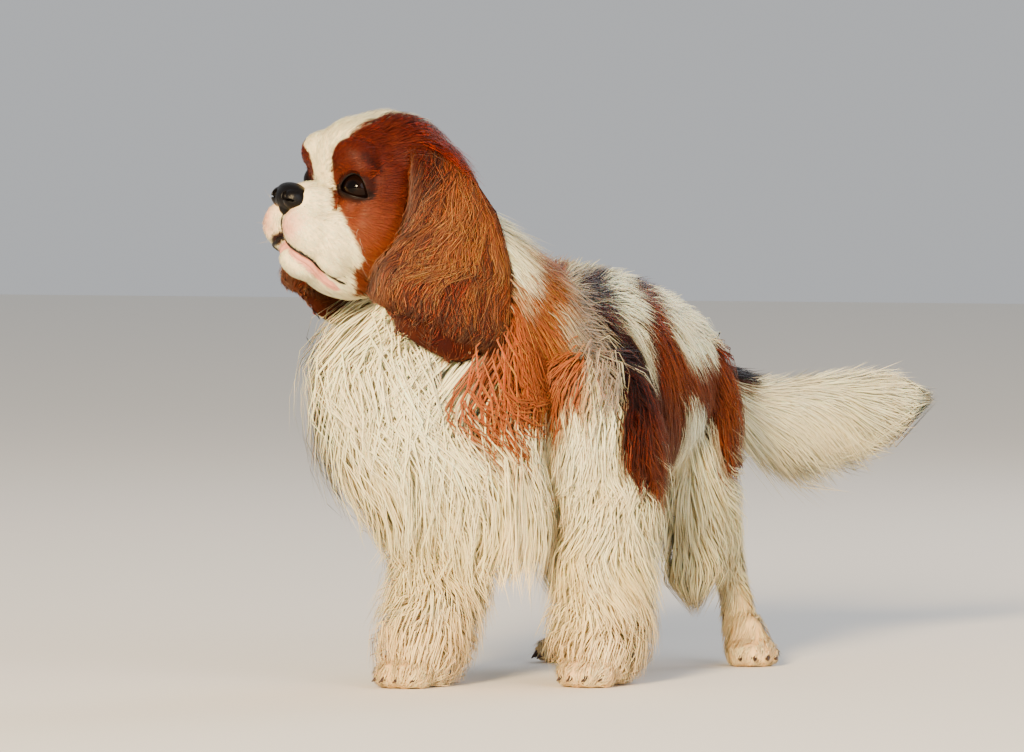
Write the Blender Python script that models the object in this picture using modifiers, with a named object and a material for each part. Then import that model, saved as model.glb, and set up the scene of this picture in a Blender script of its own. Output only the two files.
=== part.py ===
# A standing long-coated toy spaniel, life size, head turned to its right and tail level.
# Metres, +Z up. The dog faces -Y and its left side is +X. The origin is on the floor, below the middle.
import math
import random

import bmesh
import bpy
from mathutils import Matrix, Vector
from mathutils.bvhtree import BVHTree

GAP = 0.0003                # clearance between neighbouring pieces
SHARE = 0.5                 # how much of the coat's depth the core takes in; the locks reach the rest
BODY_VOXEL = 0.005
HEAD_VOXEL = 0.0028
PAW_VOXEL = 0.0026
BODY_TRIANGLES = 1700
HEAD_TRIANGLES = 1300
PAW_TRIANGLES = 180
LOCK_SEED = 7

# Head: the point between the eyes, and how the head is turned right, raised and tilted left.
HEAD_AT = Vector((-0.0903, -0.2550, 0.3625))
HEAD_TURN = math.radians(32)
HEAD_LIFT = math.radians(12)
HEAD_TILT = math.radians(6)

# Places on the head are forward, left and up from the point between the eyes.
EYE_RADIUS = 0.0126
EYE_AT = (-0.0105, 0.0262, -0.0020)
EYE_TURN = math.radians(32)          # the eyes look this far out from straight ahead
LID_DEPTH = 0.0016
LID_OPENING = (0.0116, 0.0092)       # half width and half height between the lids
NOSE_AT = (0.0310, 0.0, -0.0190)
NOSE_HALF = (0.0095, 0.0155, 0.0115)
NOSTRIL_AT = (0.0385, 0.0068, -0.0195)
NOSTRIL_HALF = (0.0045, 0.0022, 0.0030)
MOUTH_FRONT = (0.045, -0.0450)       # forward and up
MOUTH_CORNER = (-0.018, -0.0725)
MOUTH_WIDE = 0.036                   # how far out the groove's guide runs before it meets the lips
MOUTH_GROOVE = 0.0012

# Stations are x, y, z, half width and half depth of the body itself, then the coat's depth
# all round, then how much further the coat hangs on its long side.
TRUNK = (
    (-0.006, -0.152, 0.208, 0.030, 0.028, 0.020, 0.008),
    (-0.004, -0.134, 0.210, 0.050, 0.048, 0.022, 0.012),
    (0.000, -0.106, 0.214, 0.060, 0.068, 0.021, 0.018),
    (0.000, -0.066, 0.2155, 0.066, 0.0735, 0.018, 0.020),
    (0.000, -0.020, 0.2145, 0.067, 0.0715, 0.018, 0.024),
    (0.000, 0.030, 0.215, 0.064, 0.065, 0.017, 0.030),
    (0.000, 0.078, 0.218, 0.055, 0.054, 0.016, 0.034),
    (0.000, 0.114, 0.219, 0.045, 0.046, 0.015, 0.022),
    (0.000, 0.144, 0.2175, 0.036, 0.040, 0.012, 0.006),
    (0.000, 0.166, 0.2165, 0.024, 0.030, 0.008, 0.000),
)
NECK = (
    (0.000, -0.070, 0.212, 0.055, 0.052, 0.014, 0.0),
    (-0.008, -0.118, 0.241, 0.050, 0.047, 0.015, 0.0),
    (-0.023, -0.156, 0.274, 0.045, 0.043, 0.016, 0.0),
    (-0.040, -0.192, 0.312, 0.041, 0.040, 0.010, 0.0),
    (-0.054, -0.214, 0.344, 0.035, 0.034, 0.005, 0.0),
)
FORELEG = (                          # the left one
    (0.046, -0.118, 0.215, 0.028, 0.040, 0.016, 0.000),
    (0.050, -0.110, 0.180, 0.028, 0.036, 0.018, 0.002),
    (0.053, -0.098, 0.148, 0.022, 0.026, 0.019, 0.008),
    (0.053, -0.098, 0.105, 0.0165, 0.019, 0.019, 0.012),
    (0.053, -0.101, 0.062, 0.0145, 0.016, 0.022, 0.012),
    (0.053, -0.105, 0.034, 0.0150, 0.016, 0.025, 0.010),
    (0.053, -0.107, 0.022, 0.0155, 0.017, 0.023, 0.006),
)
RIGHT_FORELEG_STEP = 0.062           # the right forepaw stands this much further forward
RIGHT_FORELEG_OUT = 0.006            # and this much further out
HINDLEG = (                          # the left one
    (0.030, 0.112, 0.226, 0.022, 0.036, 0.010, 0.000),
    (0.034, 0.108, 0.186, 0.025, 0.042, 0.011, 0.006),
    (0.040, 0.092, 0.146, 0.021, 0.032, 0.012, 0.012),
    (0.043, 0.116, 0.110, 0.015, 0.020, 0.012, 0.006),
    (0.045, 0.146, 0.082, 0.0105, 0.013, 0.004, 0.000),
    (0.052, 0.152, 0.048, 0.0095, 0.0105, 0.003, 0.000),
    (0.058, 0.150, 0.024, 0.012, 0.012, 0.003, 0.000),
)
RIGHT_HINDLEG_STEP = 0.016
FRINGE_STEP = 0.6                    # how much of that step the fringe takes
FRINGE = (                           # coat that hangs in front of the left hock
    (0.044, 0.086, 0.140, 0.014, 0.018, 0.014, 0.0),
    (0.046, 0.078, 0.105, 0.008, 0.011, 0.016, 0.0),
    (0.048, 0.073, 0.072, 0.004, 0.006, 0.014, 0.0),
    (0.049, 0.070, 0.056, 0.002, 0.003, 0.008, 0.0),
)
# Toes and pads as forward, left, up from the paw's middle on the floor, then half sizes.
PAW_FORMS = (
    ((0.000, 0.0000, 0.0125), (0.0200, 0.0175, 0.0135)),
    ((0.000, 0.0000, 0.0260), (0.0150, 0.0140, 0.0160)),
    ((0.021, 0.0055, 0.0095), (0.0140, 0.0066, 0.0105)),
    ((0.021, -0.0055, 0.0095), (0.0140, 0.0066, 0.0105)),
    ((0.014, 0.0150, 0.0085), (0.0135, 0.0062, 0.0095)),
    ((0.014, -0.0150, 0.0085), (0.0135, 0.0062, 0.0095)),
)
HINDPAW_SCALE = 0.90
FOREPAW_FORWARD = 0.010              # paw's middle ahead of the leg's last station
HINDPAW_FORWARD = 0.012
BELOW_FLOOR = 0.02                   # cutters round the feet reach this far under the floor
FOREPAW_TURN = math.radians(4)       # toes turned out
HINDPAW_TURN = math.radians(42)
TAIL_ROOT = Vector((-0.006, 0.158, 0.236))
TAIL_SWING = math.radians(25)        # to the dog's left
# Distance from the root and rise, then half width, half depth, coat and hang.
TAIL = (
    (0.000, 0.000, 0.0150, 0.0160, 0.006, 0.000),
    (0.045, -0.018, 0.0130, 0.0140, 0.010, 0.008),
    (0.085, -0.034, 0.0110, 0.0120, 0.012, 0.018),
    (0.125, -0.040, 0.0100, 0.0100, 0.015, 0.028),
    (0.165, -0.040, 0.0080, 0.0080, 0.018, 0.036),
    (0.205, -0.040, 0.0060, 0.0060, 0.016, 0.030),
    (0.236, -0.041, 0.0030, 0.0030, 0.012, 0.014),
    (0.252, -0.041, 0.0010, 0.0010, 0.006, 0.002),
)
# The chest's long hair, first where it grows from and then out to its tips: x, y, z, half width, half depth.
BIB_ROOT = (
    (-0.020, -0.150, 0.268, 0.048, 0.037),
    (-0.024, -0.158, 0.238, 0.062, 0.042),
    (-0.026, -0.160, 0.204, 0.066, 0.043),
    (-0.020, -0.154, 0.176, 0.058, 0.038),
    (-0.012, -0.142, 0.154, 0.044, 0.032),
    (-0.008, -0.132, 0.138, 0.030, 0.022),
    (-0.006, -0.126, 0.128, 0.016, 0.014),
)
BIB = (
    (-0.038, -0.172, 0.272, 0.070, 0.048),
    (-0.052, -0.186, 0.236, 0.088, 0.060),
    (-0.054, -0.191, 0.196, 0.090, 0.062),
    (-0.044, -0.184, 0.156, 0.078, 0.052),
    (-0.026, -0.166, 0.118, 0.056, 0.042),
    (-0.016, -0.148, 0.086, 0.034, 0.030),
    (-0.012, -0.138, 0.062, 0.018, 0.014),
)
BIB_TURN = 14                        # degrees that the chest hair faces to the right

# Head forms: centre, then half sizes. One that isn't on the middle line is made on both sides.
HEAD_FORMS = (
    ((-0.058, 0.0, 0.004), (0.058, 0.047, 0.046)),        # cranium
    ((-0.024, 0.0, 0.014), (0.037, 0.042, 0.036)),        # forehead
    ((-0.008, 0.024, 0.013), (0.017, 0.019, 0.015)),      # brows
    ((0.003, 0.0, -0.021), (0.029, 0.020, 0.020)),        # bridge of the muzzle
    ((0.009, 0.0, -0.036), (0.026, 0.026, 0.020)),        # muzzle
    ((0.012, 0.014, -0.040), (0.024, 0.018, 0.018)),      # flews
    ((-0.010, 0.021, -0.050), (0.022, 0.013, 0.019)),     # back of the flews
    ((0.000, 0.0, -0.061), (0.025, 0.019, 0.015)),        # chin
    ((-0.028, 0.0, -0.058), (0.036, 0.031, 0.024)),       # lower jaw
    ((-0.034, 0.030, -0.026), (0.034, 0.023, 0.038)),     # cheeks
    ((-0.036, 0.030, 0.000), (0.030, 0.019, 0.030)),      # temples
    ((-0.058, 0.0, -0.035), (0.042, 0.038, 0.036)),       # throat
)
# The left ear's flap from its root down: forward, left, up of its middle, half width along the
# head and half thickness with its hair. The right ear is its mirror.
EAR = (
    (-0.048, 0.034, 0.034, 0.016, 0.004),
    (-0.054, 0.047, 0.024, 0.031, 0.007),
    (-0.064, 0.055, 0.003, 0.042, 0.008),
    (-0.074, 0.060, -0.024, 0.050, 0.009),
    (-0.078, 0.064, -0.052, 0.054, 0.010),
    (-0.076, 0.066, -0.078, 0.054, 0.010),
    (-0.068, 0.066, -0.102, 0.043, 0.009),
    (-0.062, 0.065, -0.116, 0.026, 0.006),
)
RIGHT_EAR_BACK = 0.012               # the right ear is swept back this much at its tip
EAR_FRINGE = 0.012                   # hair past the flap's own edge at its tip
EAR_ROOM = 0.003                     # space kept clear round the ear for its locks
NECK_CUT = (Vector((-0.050, -0.235, 0.347)), 0.146)       # a ball that holds the neck and its ruff
TAIL_CUT = 0.030                      # distance from the tail's root
THIGH_CUT = ((0.046, 0.152), (0.190, 0.232))              # y and z along the thigh's upper edge
FORELEG_CUT_FROM = 2                  # the station at the foreleg's top
FORELEG_CUT_MARGIN = 0.005

# Locks: each is a tapered strip that leaves the core, follows its lie and hangs. Its sections are
# shares of its length, then of its width, thickness and stand there.
LOCK_SHAPE = (
    (0.00, 0.15, 0.40, 0.00),
    (0.28, 1.00, 1.00, 0.85),
    (0.64, 0.70, 0.75, 1.05),
    (1.00, 0.00, 0.00, 0.85),
)
LOCK_SUNK = 0.006                    # how deep the root lies in the core
LOCK_FLATNESS = 0.42                 # thickness to half width
LOCK_VARIES = 0.14                   # how far a lock's size and heading stray, as a share and in radians
LOCK_FOLLOWS = 0.7                   # past a sharper bend of the core than this it hangs free
FLOOR_ROOM = 0.0012                  # lock tips stay this far above the floor
# Degrees from the ridge, how many, first and last share of the trunk, length, half width, stand, droop.
TRUNK_LOCKS = (
    (15, 3, 0.32, 0.92, 0.104, 0.014, 0.006, 0.1),
    (48, 4, 0.24, 0.90, 0.104, 0.014, 0.007, 0.4),
    (82, 4, 0.28, 0.92, 0.104, 0.015, 0.009, 0.8),
    (114, 5, 0.24, 0.88, 0.090, 0.014, 0.011, 1.2),
    (146, 5, 0.34, 0.80, 0.072, 0.013, 0.017, 1.8),
)
# Share down the bib, how many, degrees to either side of its middle, length, stand.
BIB_LOCKS = (
    (0.08, 7, 118, 0.110, 0.016),
    (0.30, 7, 108, 0.110, 0.018),
    (0.50, 8, 104, 0.096, 0.018),
    (0.70, 6, 84, 0.076, 0.014),
)
# Share up the neck, degrees from the nape, length, stand.
NECK_LOCKS = (
    (0.34, (22, 68, 112), 0.088, 0.009),
    (0.62, (45, 100), 0.084, 0.008),
)
# Share down the leg, degrees outward from straight ahead, length, stand.
FORELEG_LOCKS = (
    (0.32, (80, 130, 180), 0.060, 0.009),
    (0.52, (100, 155, 205), 0.054, 0.010),
    (0.72, (30, 100, 170, 240, 310), 0.038, 0.008),
)
HINDLEG_LOCKS = (
    (0.06, (70, 125), 0.066, 0.007),
    (0.28, (55, 110, 165), 0.056, 0.008),
)
FRINGE_LOCKS = (
    (0.05, (0, 90), 0.040, 0.006),
    (0.36, (40, 130), 0.040, 0.006),
)
# Degrees from the tail's top, how many, length, stand.
TAIL_LOCKS = (
    (30, 3, 0.058, 0.006),
    (78, 3, 0.062, 0.009),
    (120, 4, 0.062, 0.012),
    (160, 4, 0.062, 0.016),
)
TAIL_LOCKS_FROM, TAIL_LOCKS_TO = 0.20, 0.76
# Share down the ear's flap, places across it as shares of its half width, length.
EAR_LOCKS = (
    (0.22, (-0.5, 0.1), 0.066),
    (0.46, (-0.75, -0.2, 0.35), 0.058),
    (0.68, (-0.6, -0.1, 0.45), 0.044),
)
# Half width, and how strongly it droops.
BIB_LOCK = (0.015, 0.4)
NECK_LOCK = (0.014, 0.8)
FORELEG_LOCK = (0.008, 0.4)
HINDLEG_LOCK = (0.009, 0.6)
FRINGE_LOCK = (0.008, 0.4)
TAIL_LOCK = (0.008, 0.1)
EAR_LOCK = (0.009, 0.2)
EAR_LOCK_STAND = 0.003
# How strongly a lock's first heading leans down, or out, or fans.
SIDE_FALL = 0.6
TAIL_FALL = 0.4
BIB_FLARE = 0.3
LEG_FLARE = 0.2
EAR_FAN = 0.25

FORE_AFT = Vector((0, 1, 0))
DOWN = Vector((0, 0, -1))
SIDE = Vector((1, 0, 0))
RAY = 0.2                            # rays that look for the core's surface start this far out


def head_axes():
    """The head's forward, left and up axes, after its turn to the right, lift and tilt to the left."""
    forward = Vector((-math.sin(HEAD_TURN), -math.cos(HEAD_TURN), 0))
    left = Vector((math.cos(HEAD_TURN), -math.sin(HEAD_TURN), 0))
    up = Vector((0, 0, 1))
    forward, up = (
        forward * math.cos(HEAD_LIFT) + up * math.sin(HEAD_LIFT),
        up * math.cos(HEAD_LIFT) - forward * math.sin(HEAD_LIFT),
    )
    left, up = (
        left * math.cos(HEAD_TILT) - up * math.sin(HEAD_TILT),
        up * math.cos(HEAD_TILT) + left * math.sin(HEAD_TILT),
    )
    return forward, left, up


def head_point(place):
    forward, left, up = head_axes()
    return HEAD_AT + forward * place[0] + left * place[1] + up * place[2]


def head_matrix(place, turn=0.0):
    """Local x, y, z become the head's forward, left and up at that place, then turn about up."""
    axes = Matrix(head_axes()).transposed().to_4x4()
    return Matrix.Translation(head_point(place)) @ axes @ Matrix.Rotation(turn, 4, "Z")


def mirrored(place, mirror):
    return (place[0], place[1] * mirror, *place[2:])


def new_object(name, mesh):
    made = bpy.data.objects.new(name, mesh)
    bpy.context.scene.collection.objects.link(made)
    return made


def from_bmesh(name, shape):
    mesh = bpy.data.meshes.new(name)
    bmesh.ops.recalc_face_normals(shape, faces=shape.faces)
    shape.to_mesh(mesh)
    shape.free()
    return new_object(name, mesh)


def ellipsoid(name, matrix, half, segments=20, rings=14):
    shape = bmesh.new()
    bmesh.ops.create_uvsphere(shape, u_segments=segments, v_segments=rings, radius=1.0)
    bmesh.ops.transform(shape, matrix=matrix @ Matrix.Diagonal((*half, 1.0)), verts=shape.verts)
    return from_bmesh(name, shape)


def block(name, matrix, half):
    shape = bmesh.new()
    bmesh.ops.create_cube(shape, size=2.0)
    bmesh.ops.transform(shape, matrix=matrix @ Matrix.Diagonal((*half, 1.0)), verts=shape.verts)
    return from_bmesh(name, shape)


def smooth_run(rows, steps):
    """The rows with more between each two, on a curve through all of them."""
    run = []
    last = len(rows) - 1
    for i in range(last):
        before, start, end, after = rows[max(i - 1, 0)], rows[i], rows[i + 1], rows[min(i + 2, last)]
        for k in range(steps):
            t = k / steps
            run.append(tuple(
                b + 0.5 * t * (c - a + t * (2 * a - 5 * b + 4 * c - d + t * (3 * b - a - 3 * c + d)))
                for a, b, c, d in zip(before, start, end, after)
            ))
    return run + [tuple(rows[-1])]


def rounded_ends(run):
    """Adds shrinking sections past both ends, so that the form closes like a dome."""
    caps = []
    for end, inner in ((run[0], run[1]), (run[-1], run[-2])):
        centre = Vector(end[:3])
        outward = (centre - Vector(inner[:3])).normalized()
        reach = min(end[3], end[4])
        cap = []
        for angle in (math.radians(30), math.radians(58), math.radians(80)):
            middle = centre + outward * reach * math.sin(angle)
            cap.append((*middle, end[3] * math.cos(angle), end[4] * math.cos(angle)))
        caps.append(cap)
    return caps[0][::-1] + run + caps[1]


def tube(name, stations, side, steps=4, around=24):
    """A closed form through stations of x, y, z, half width along `side` and half depth across it."""
    run = rounded_ends(smooth_run(stations, steps))
    centres = [Vector(row[:3]) for row in run]
    shape = bmesh.new()
    rings = []
    for i, row in enumerate(run):
        along = (centres[min(i + 1, len(run) - 1)] - centres[max(i - 1, 0)]).normalized()
        across = along.cross(side).normalized()
        level = across.cross(along).normalized()
        rings.append([
            shape.verts.new(
                centres[i]
                + level * (row[3] * math.cos(2 * math.pi * k / around))
                + across * (row[4] * math.sin(2 * math.pi * k / around))
            )
            for k in range(around)
        ])
    for lower, upper in zip(rings, rings[1:]):
        for k in range(around):
            shape.faces.new((lower[k], lower[(k + 1) % around], upper[(k + 1) % around], upper[k]))
    shape.faces.new(rings[0])
    shape.faces.new(rings[-1])
    return from_bmesh(name, shape)


def coated(stations, hang_way, share, extra=0.0):
    """Sections of the body with that share of its coat, which hangs further along `hang_way`."""
    rows = []
    for x, y, z, width, depth, coat, hang in stations:
        centre = Vector((x, y, z)) + hang_way * (hang * share / 2)
        grown = coat * share + extra
        rows.append((*centre, width + grown, depth + grown + hang * share / 2))
    return rows


def stepped(stations, mirror, forward, out=0.0):
    """Leg stations on the left or mirrored to the right, with the foot moved and the top kept."""
    top, foot = stations[0][2], stations[-1][2]
    rows = []
    for x, y, z, *rest in stations:
        moved = ((top - z) / (top - foot)) ** 1.2
        rows.append((mirror * (x + out * moved), y - forward * moved, z, *rest))
    return rows


def legs():
    """Each side's mirror, then how far its forepaw and hindpaw are moved forward and the forepaw out."""
    return (1, 0.0, 0.0, 0.0), (-1, RIGHT_FORELEG_STEP, RIGHT_HINDLEG_STEP, RIGHT_FORELEG_OUT)


def tail_way():
    return Vector((math.sin(TAIL_SWING), math.cos(TAIL_SWING), 0))


def tail_stations():
    return [
        (*(TAIL_ROOT + tail_way() * distance + Vector((0, 0, rise))), *rest)
        for distance, rise, *rest in TAIL
    ]


def bib_rows(share):
    return [
        tuple(a + (b - a) * share for a, b in zip(root, tip))
        for root, tip in zip(BIB_ROOT, BIB)
    ]


def applied(made):
    """The object with its modifiers made part of its mesh."""
    graph = bpy.context.evaluated_depsgraph_get()
    mesh = bpy.data.meshes.new_from_object(made.evaluated_get(graph))
    name = made.name
    bpy.data.objects.remove(made)
    return new_object(name, mesh)


def fused(name, pieces, voxel, rounds, triangles):
    """The pieces as one smooth closed skin of about that many triangles."""
    shape = bmesh.new()
    for piece in pieces:
        shape.from_mesh(piece.data)
        bpy.data.objects.remove(piece)
    mesh = bpy.data.meshes.new(name)
    shape.to_mesh(mesh)
    shape.free()
    made = new_object(name, mesh)
    remesh = made.modifiers.new("skin", "REMESH")
    remesh.mode = "VOXEL"
    remesh.voxel_size = voxel
    relax = made.modifiers.new("relax", "SMOOTH")
    relax.factor = 0.5
    relax.iterations = rounds
    full = applied(made)
    thin = full.modifiers.new("thin", "DECIMATE")
    thin.ratio = triangles / (2 * len(full.data.polygons))
    return applied(full)


def combined(made, operation, others, keep_others=False):
    """One Boolean of the object with all the others, after which only its largest closed surface stays."""
    group = bpy.data.collections.new("joined")
    for other in others:
        group.objects.link(other)
    step = made.modifiers.new("step", "BOOLEAN")
    step.operation = operation
    step.operand_type = "COLLECTION"
    step.collection = group
    step.solver = "MANIFOLD"
    result = applied(made)
    bpy.data.collections.remove(group)
    if not keep_others:
        for other in others:
            bpy.data.objects.remove(other)
    keep_largest(result)
    return result


def keep_largest(made):
    shape = bmesh.new()
    shape.from_mesh(made.data)
    left = set(shape.faces)
    groups = []
    while left:
        wave = [left.pop()]
        group = []
        while wave:
            face = wave.pop()
            group.append(face)
            for edge in face.edges:
                for near in edge.link_faces:
                    if near in left:
                        left.remove(near)
                        wave.append(near)
        groups.append(group)
    groups.sort(key=lambda faces: -sum(face.calc_area() for face in faces))
    loose = [face for group in groups[1:] for face in group]
    bmesh.ops.delete(shape, geom=loose, context="FACES")
    shape.to_mesh(made.data)
    shape.free()


def copied(made, name):
    return new_object(name, made.data.copy())


def grown(made, distance):
    """A copy whose surface stands off by that distance."""
    copy = copied(made, made.name + "_grown")
    shape = bmesh.new()
    shape.from_mesh(copy.data)
    shape.normal_update()
    moves = [vert.normal * distance for vert in shape.verts]
    for vert, move in zip(shape.verts, moves):
        vert.co += move
    shape.to_mesh(copy.data)
    shape.free()
    return copy


def lock(core, root, way, length, half_width, stand, droop, dice):
    """A strip from `root` along `way`, standing that far off the core while `droop` pulls it down."""
    place, normal = core.find_nearest(root)[:2]
    heading = (way - normal * way.dot(normal)).normalized()
    heading = Matrix.Rotation(dice.uniform(-LOCK_VARIES, LOCK_VARIES), 3, normal) @ heading
    length *= dice.uniform(1 - LOCK_VARIES, 1 + LOCK_VARIES)
    stand *= dice.uniform(1 - 2 * LOCK_VARIES, 1 + LOCK_VARIES)
    shape = bmesh.new()
    rings = []
    spot = place - normal * LOCK_SUNK
    done = 0.0
    for share, wide, thick, height in LOCK_SHAPE:
        spot = spot + heading * (length * (share - done))
        heading = (heading + DOWN * droop * (share - done)).normalized()
        done = share
        near, found = core.find_nearest(spot)[:2]
        if share and found.dot(normal) > LOCK_FOLLOWS:
            normal = found
            above = (spot - near).dot(normal)
            spot = spot + normal * (stand * height - above)
        spot.z = max(spot.z, FLOOR_ROOM + half_width * wide * 0.5)
        if share == 1.0:
            rings.append([shape.verts.new(spot)])
            break
        flat = heading.cross(normal).normalized()
        across = flat * (half_width * wide)
        rise = flat.cross(heading).normalized() * (half_width * LOCK_FLATNESS * thick / 2)
        rings.append([shape.verts.new(spot + step) for step in (across - rise, rise, -across - rise)])
    for lower, upper in zip(rings, rings[1:]):
        for k in range(3):
            nearer, further = lower[k], lower[(k + 1) % 3]
            if len(upper) == 1:
                shape.faces.new((nearer, further, upper[0]))
            else:
                shape.faces.new((nearer, further, upper[(k + 1) % 3], upper[k]))
    shape.faces.new(rings[0])
    bmesh.ops.triangulate(shape, faces=shape.faces)
    return from_bmesh("lock", shape)


def along(stations, share):
    """The middle of a form at that share of its length."""
    spot = share * (len(stations) - 1)
    i = min(int(spot), len(stations) - 2)
    return Vector(stations[i][:3]).lerp(Vector(stations[i + 1][:3]), spot - i)


def around(core, middle, forward, angle):
    """Where a ray meets the core, leaving `middle` square to `forward` at `angle` from straight up."""
    side = forward.cross(Vector((0, 0, 1))).normalized()
    top = side.cross(forward).normalized()
    out = top * math.cos(angle) + side * math.sin(angle)
    return core.ray_cast(middle + out * RAY, -out)[0]


def spread(count, low, high):
    return [low + (high - low) * (k + 0.5) / count for k in range(count)]


def trunk_locks(core, dice):
    """Flat locks on the back and down the ribs, and the longest along the belly."""
    for degrees, count, low, high, length, width, stand, droop in TRUNK_LOCKS:
        for share in spread(count, low, high):
            for side in (1, -1):
                root = around(core, along(TRUNK, share), FORE_AFT, math.radians(degrees * side))
                way = FORE_AFT + DOWN * SIDE_FALL * math.sin(math.radians(degrees))
                yield lock(core, root, way, length, width, stand, droop, dice)


def outward(degrees, mirror=1):
    """The level direction at that angle from straight ahead, counted towards the left."""
    turn = math.radians(degrees)
    return Vector((math.sin(turn) * mirror, -math.cos(turn), 0.0))


def bib_locks(core, dice):
    """Long locks that hang from the chest."""
    width, droop = BIB_LOCK
    for share, count, reach, length, stand in BIB_LOCKS:
        middle = along(bib_rows(SHARE), share)
        for degrees in spread(count, -reach, reach):
            out = outward(degrees - BIB_TURN)
            root = core.ray_cast(middle + out * RAY, -out)[0]
            yield lock(core, root, DOWN + out * BIB_FLARE, length, width, stand, droop, dice)


def neck_locks(core, dice):
    """The ruff down both sides of the neck, and its nape."""
    width, droop = NECK_LOCK
    forward = (Vector(NECK[-1][:3]) - Vector(NECK[0][:3])).normalized()
    for share, angles, length, stand in NECK_LOCKS:
        for degrees in angles:
            for side in (1, -1):
                root = around(core, along(NECK, share), forward, math.radians(degrees * side))
                way = -forward + DOWN * SIDE_FALL * math.sin(math.radians(degrees))
                yield lock(core, root, way, length, width, stand, droop, dice)


def leg_locks(core, stations, rows, kind, dice):
    """Feathering that hangs round a leg or a fringe."""
    width, droop = kind
    mirror = math.copysign(1, stations[0][0])
    for share, angles, length, stand in rows:
        for degrees in angles:
            out = outward(degrees, mirror)
            root = core.ray_cast(along(stations, share) + out * RAY / 2, -out)[0]
            yield lock(core, root, DOWN + out * LEG_FLARE, length, width, stand, droop, dice)


def tail_locks(core, dice):
    """The plume: locks along the top of the tail and longer ones below, all swept to its tip."""
    width, droop = TAIL_LOCK
    for degrees, count, length, stand in TAIL_LOCKS:
        for share in spread(count, TAIL_LOCKS_FROM, TAIL_LOCKS_TO):
            for side in (1, -1):
                root = around(core, along(tail_stations(), share), tail_way(), math.radians(degrees * side))
                way = tail_way() + DOWN * TAIL_FALL * math.sin(math.radians(degrees) / 2)
                yield lock(core, root, way, length, width, stand, droop, dice)


def ear_locks(core, mirror, dice):
    """Wavy locks down the outside of the ear and along its lower edge."""
    width, droop = EAR_LOCK
    forward, left, up = head_axes()
    stations = ear_rows(mirror, share=SHARE)
    for share, places, length in EAR_LOCKS:
        middle = along(stations, share)
        half = stations[round(share * (len(stations) - 1))][3]
        for across in places:
            start = middle + forward * (half * across) + left * mirror * RAY / 4
            root = core.ray_cast(start, -left * mirror)[0]
            way = forward * across * EAR_FAN - up
            yield lock(core, root, way, length, width, EAR_LOCK_STAND, droop, dice)


def body_forms(share):
    across = Vector((math.cos(TAIL_SWING), -math.sin(TAIL_SWING), 0))
    forms = [
        tube("trunk", coated(TRUNK, DOWN, share), SIDE),
        tube("neck", coated(NECK, DOWN, share), SIDE),
        tube("bib", bib_rows(share), SIDE),
        tube("tail", coated(tail_stations(), DOWN, share), across),
    ]
    for mirror, fore_step, hind_step, out in legs():
        foreleg = stepped(FORELEG, mirror, fore_step, out)
        hindleg = stepped(HINDLEG, mirror, hind_step)
        fringe = stepped(FRINGE, mirror, hind_step * FRINGE_STEP)
        forms.append(tube("foreleg", coated(foreleg, FORE_AFT, share), SIDE))
        forms.append(tube("hindleg", coated(hindleg, FORE_AFT, share), SIDE))
        forms.append(tube("fringe", coated(fringe, DOWN, share), SIDE))
    return forms


def paw_matrix(stations, mirror, step, out, forward, turn, scale):
    """The paw's middle on the floor, with local x pointing to its toes."""
    foot = Vector(stepped(stations, mirror, step, out)[-1][:2]).to_3d()
    heading = Matrix.Rotation(-math.pi / 2 + turn * mirror, 4, "Z")
    return Matrix.Translation(foot) @ heading @ Matrix.Translation((forward, 0, 0)) @ Matrix.Scale(scale, 4)


def paw_matrices():
    for mirror, fore_step, hind_step, out in legs():
        yield paw_matrix(FORELEG, mirror, fore_step, out, FOREPAW_FORWARD, FOREPAW_TURN, 1.0)
        yield paw_matrix(HINDLEG, mirror, hind_step, 0.0, HINDPAW_FORWARD, HINDPAW_TURN, HINDPAW_SCALE)


def paw(matrix):
    forms = [
        ellipsoid("toe", matrix @ Matrix.Translation(place), half)
        for place, half in PAW_FORMS
    ]
    return fused("paw", forms, PAW_VOXEL, 3, PAW_TRIANGLES)


def tree_of(made):
    return BVHTree.FromObject(made, bpy.context.evaluated_depsgraph_get())


def whole_body(share):
    body = fused("body", body_forms(share), BODY_VOXEL, 6, BODY_TRIANGLES)
    core = tree_of(body)
    dice = random.Random(LOCK_SEED)
    locks = []
    for grow in (trunk_locks, bib_locks, neck_locks, tail_locks):
        locks += grow(core, dice)
    for mirror, fore_step, hind_step, out in legs():
        foreleg = stepped(FORELEG, mirror, fore_step, out)
        hindleg = stepped(HINDLEG, mirror, hind_step)
        fringe = stepped(FRINGE, mirror, hind_step * FRINGE_STEP)
        locks += leg_locks(core, foreleg, FORELEG_LOCKS, FORELEG_LOCK, dice)
        locks += leg_locks(core, hindleg, HINDLEG_LOCKS, HINDLEG_LOCK, dice)
        locks += leg_locks(core, fringe, FRINGE_LOCKS, FRINGE_LOCK, dice)
    body = combined(body, "UNION", [paw(matrix) for matrix in paw_matrices()] + locks)
    floor = block("floor", Matrix.Translation((0, 0, -0.05)), (0.5, 0.5, 0.05))
    return combined(body, "DIFFERENCE", [floor])


def mouth_guide(head):
    """Points along the line of the mouth, from the left corner round the front to the right one."""
    tree = tree_of(head)
    points = []
    count = 17
    for i in range(count):
        turn = math.pi * (i / (count - 1) - 0.5)
        ahead = math.cos(turn)
        forward = MOUTH_CORNER[0] + (MOUTH_FRONT[0] - MOUTH_CORNER[0]) * ahead
        up = MOUTH_CORNER[1] + (MOUTH_FRONT[1] - MOUTH_CORNER[1]) * ahead ** 0.8
        outside = head_point((forward, -MOUTH_WIDE * math.sin(turn), up))
        inside = head_point((MOUTH_CORNER[0], 0.0, up))
        hit = tree.ray_cast(outside, (inside - outside).normalized())[0]
        points.append(hit)
    return points


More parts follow.
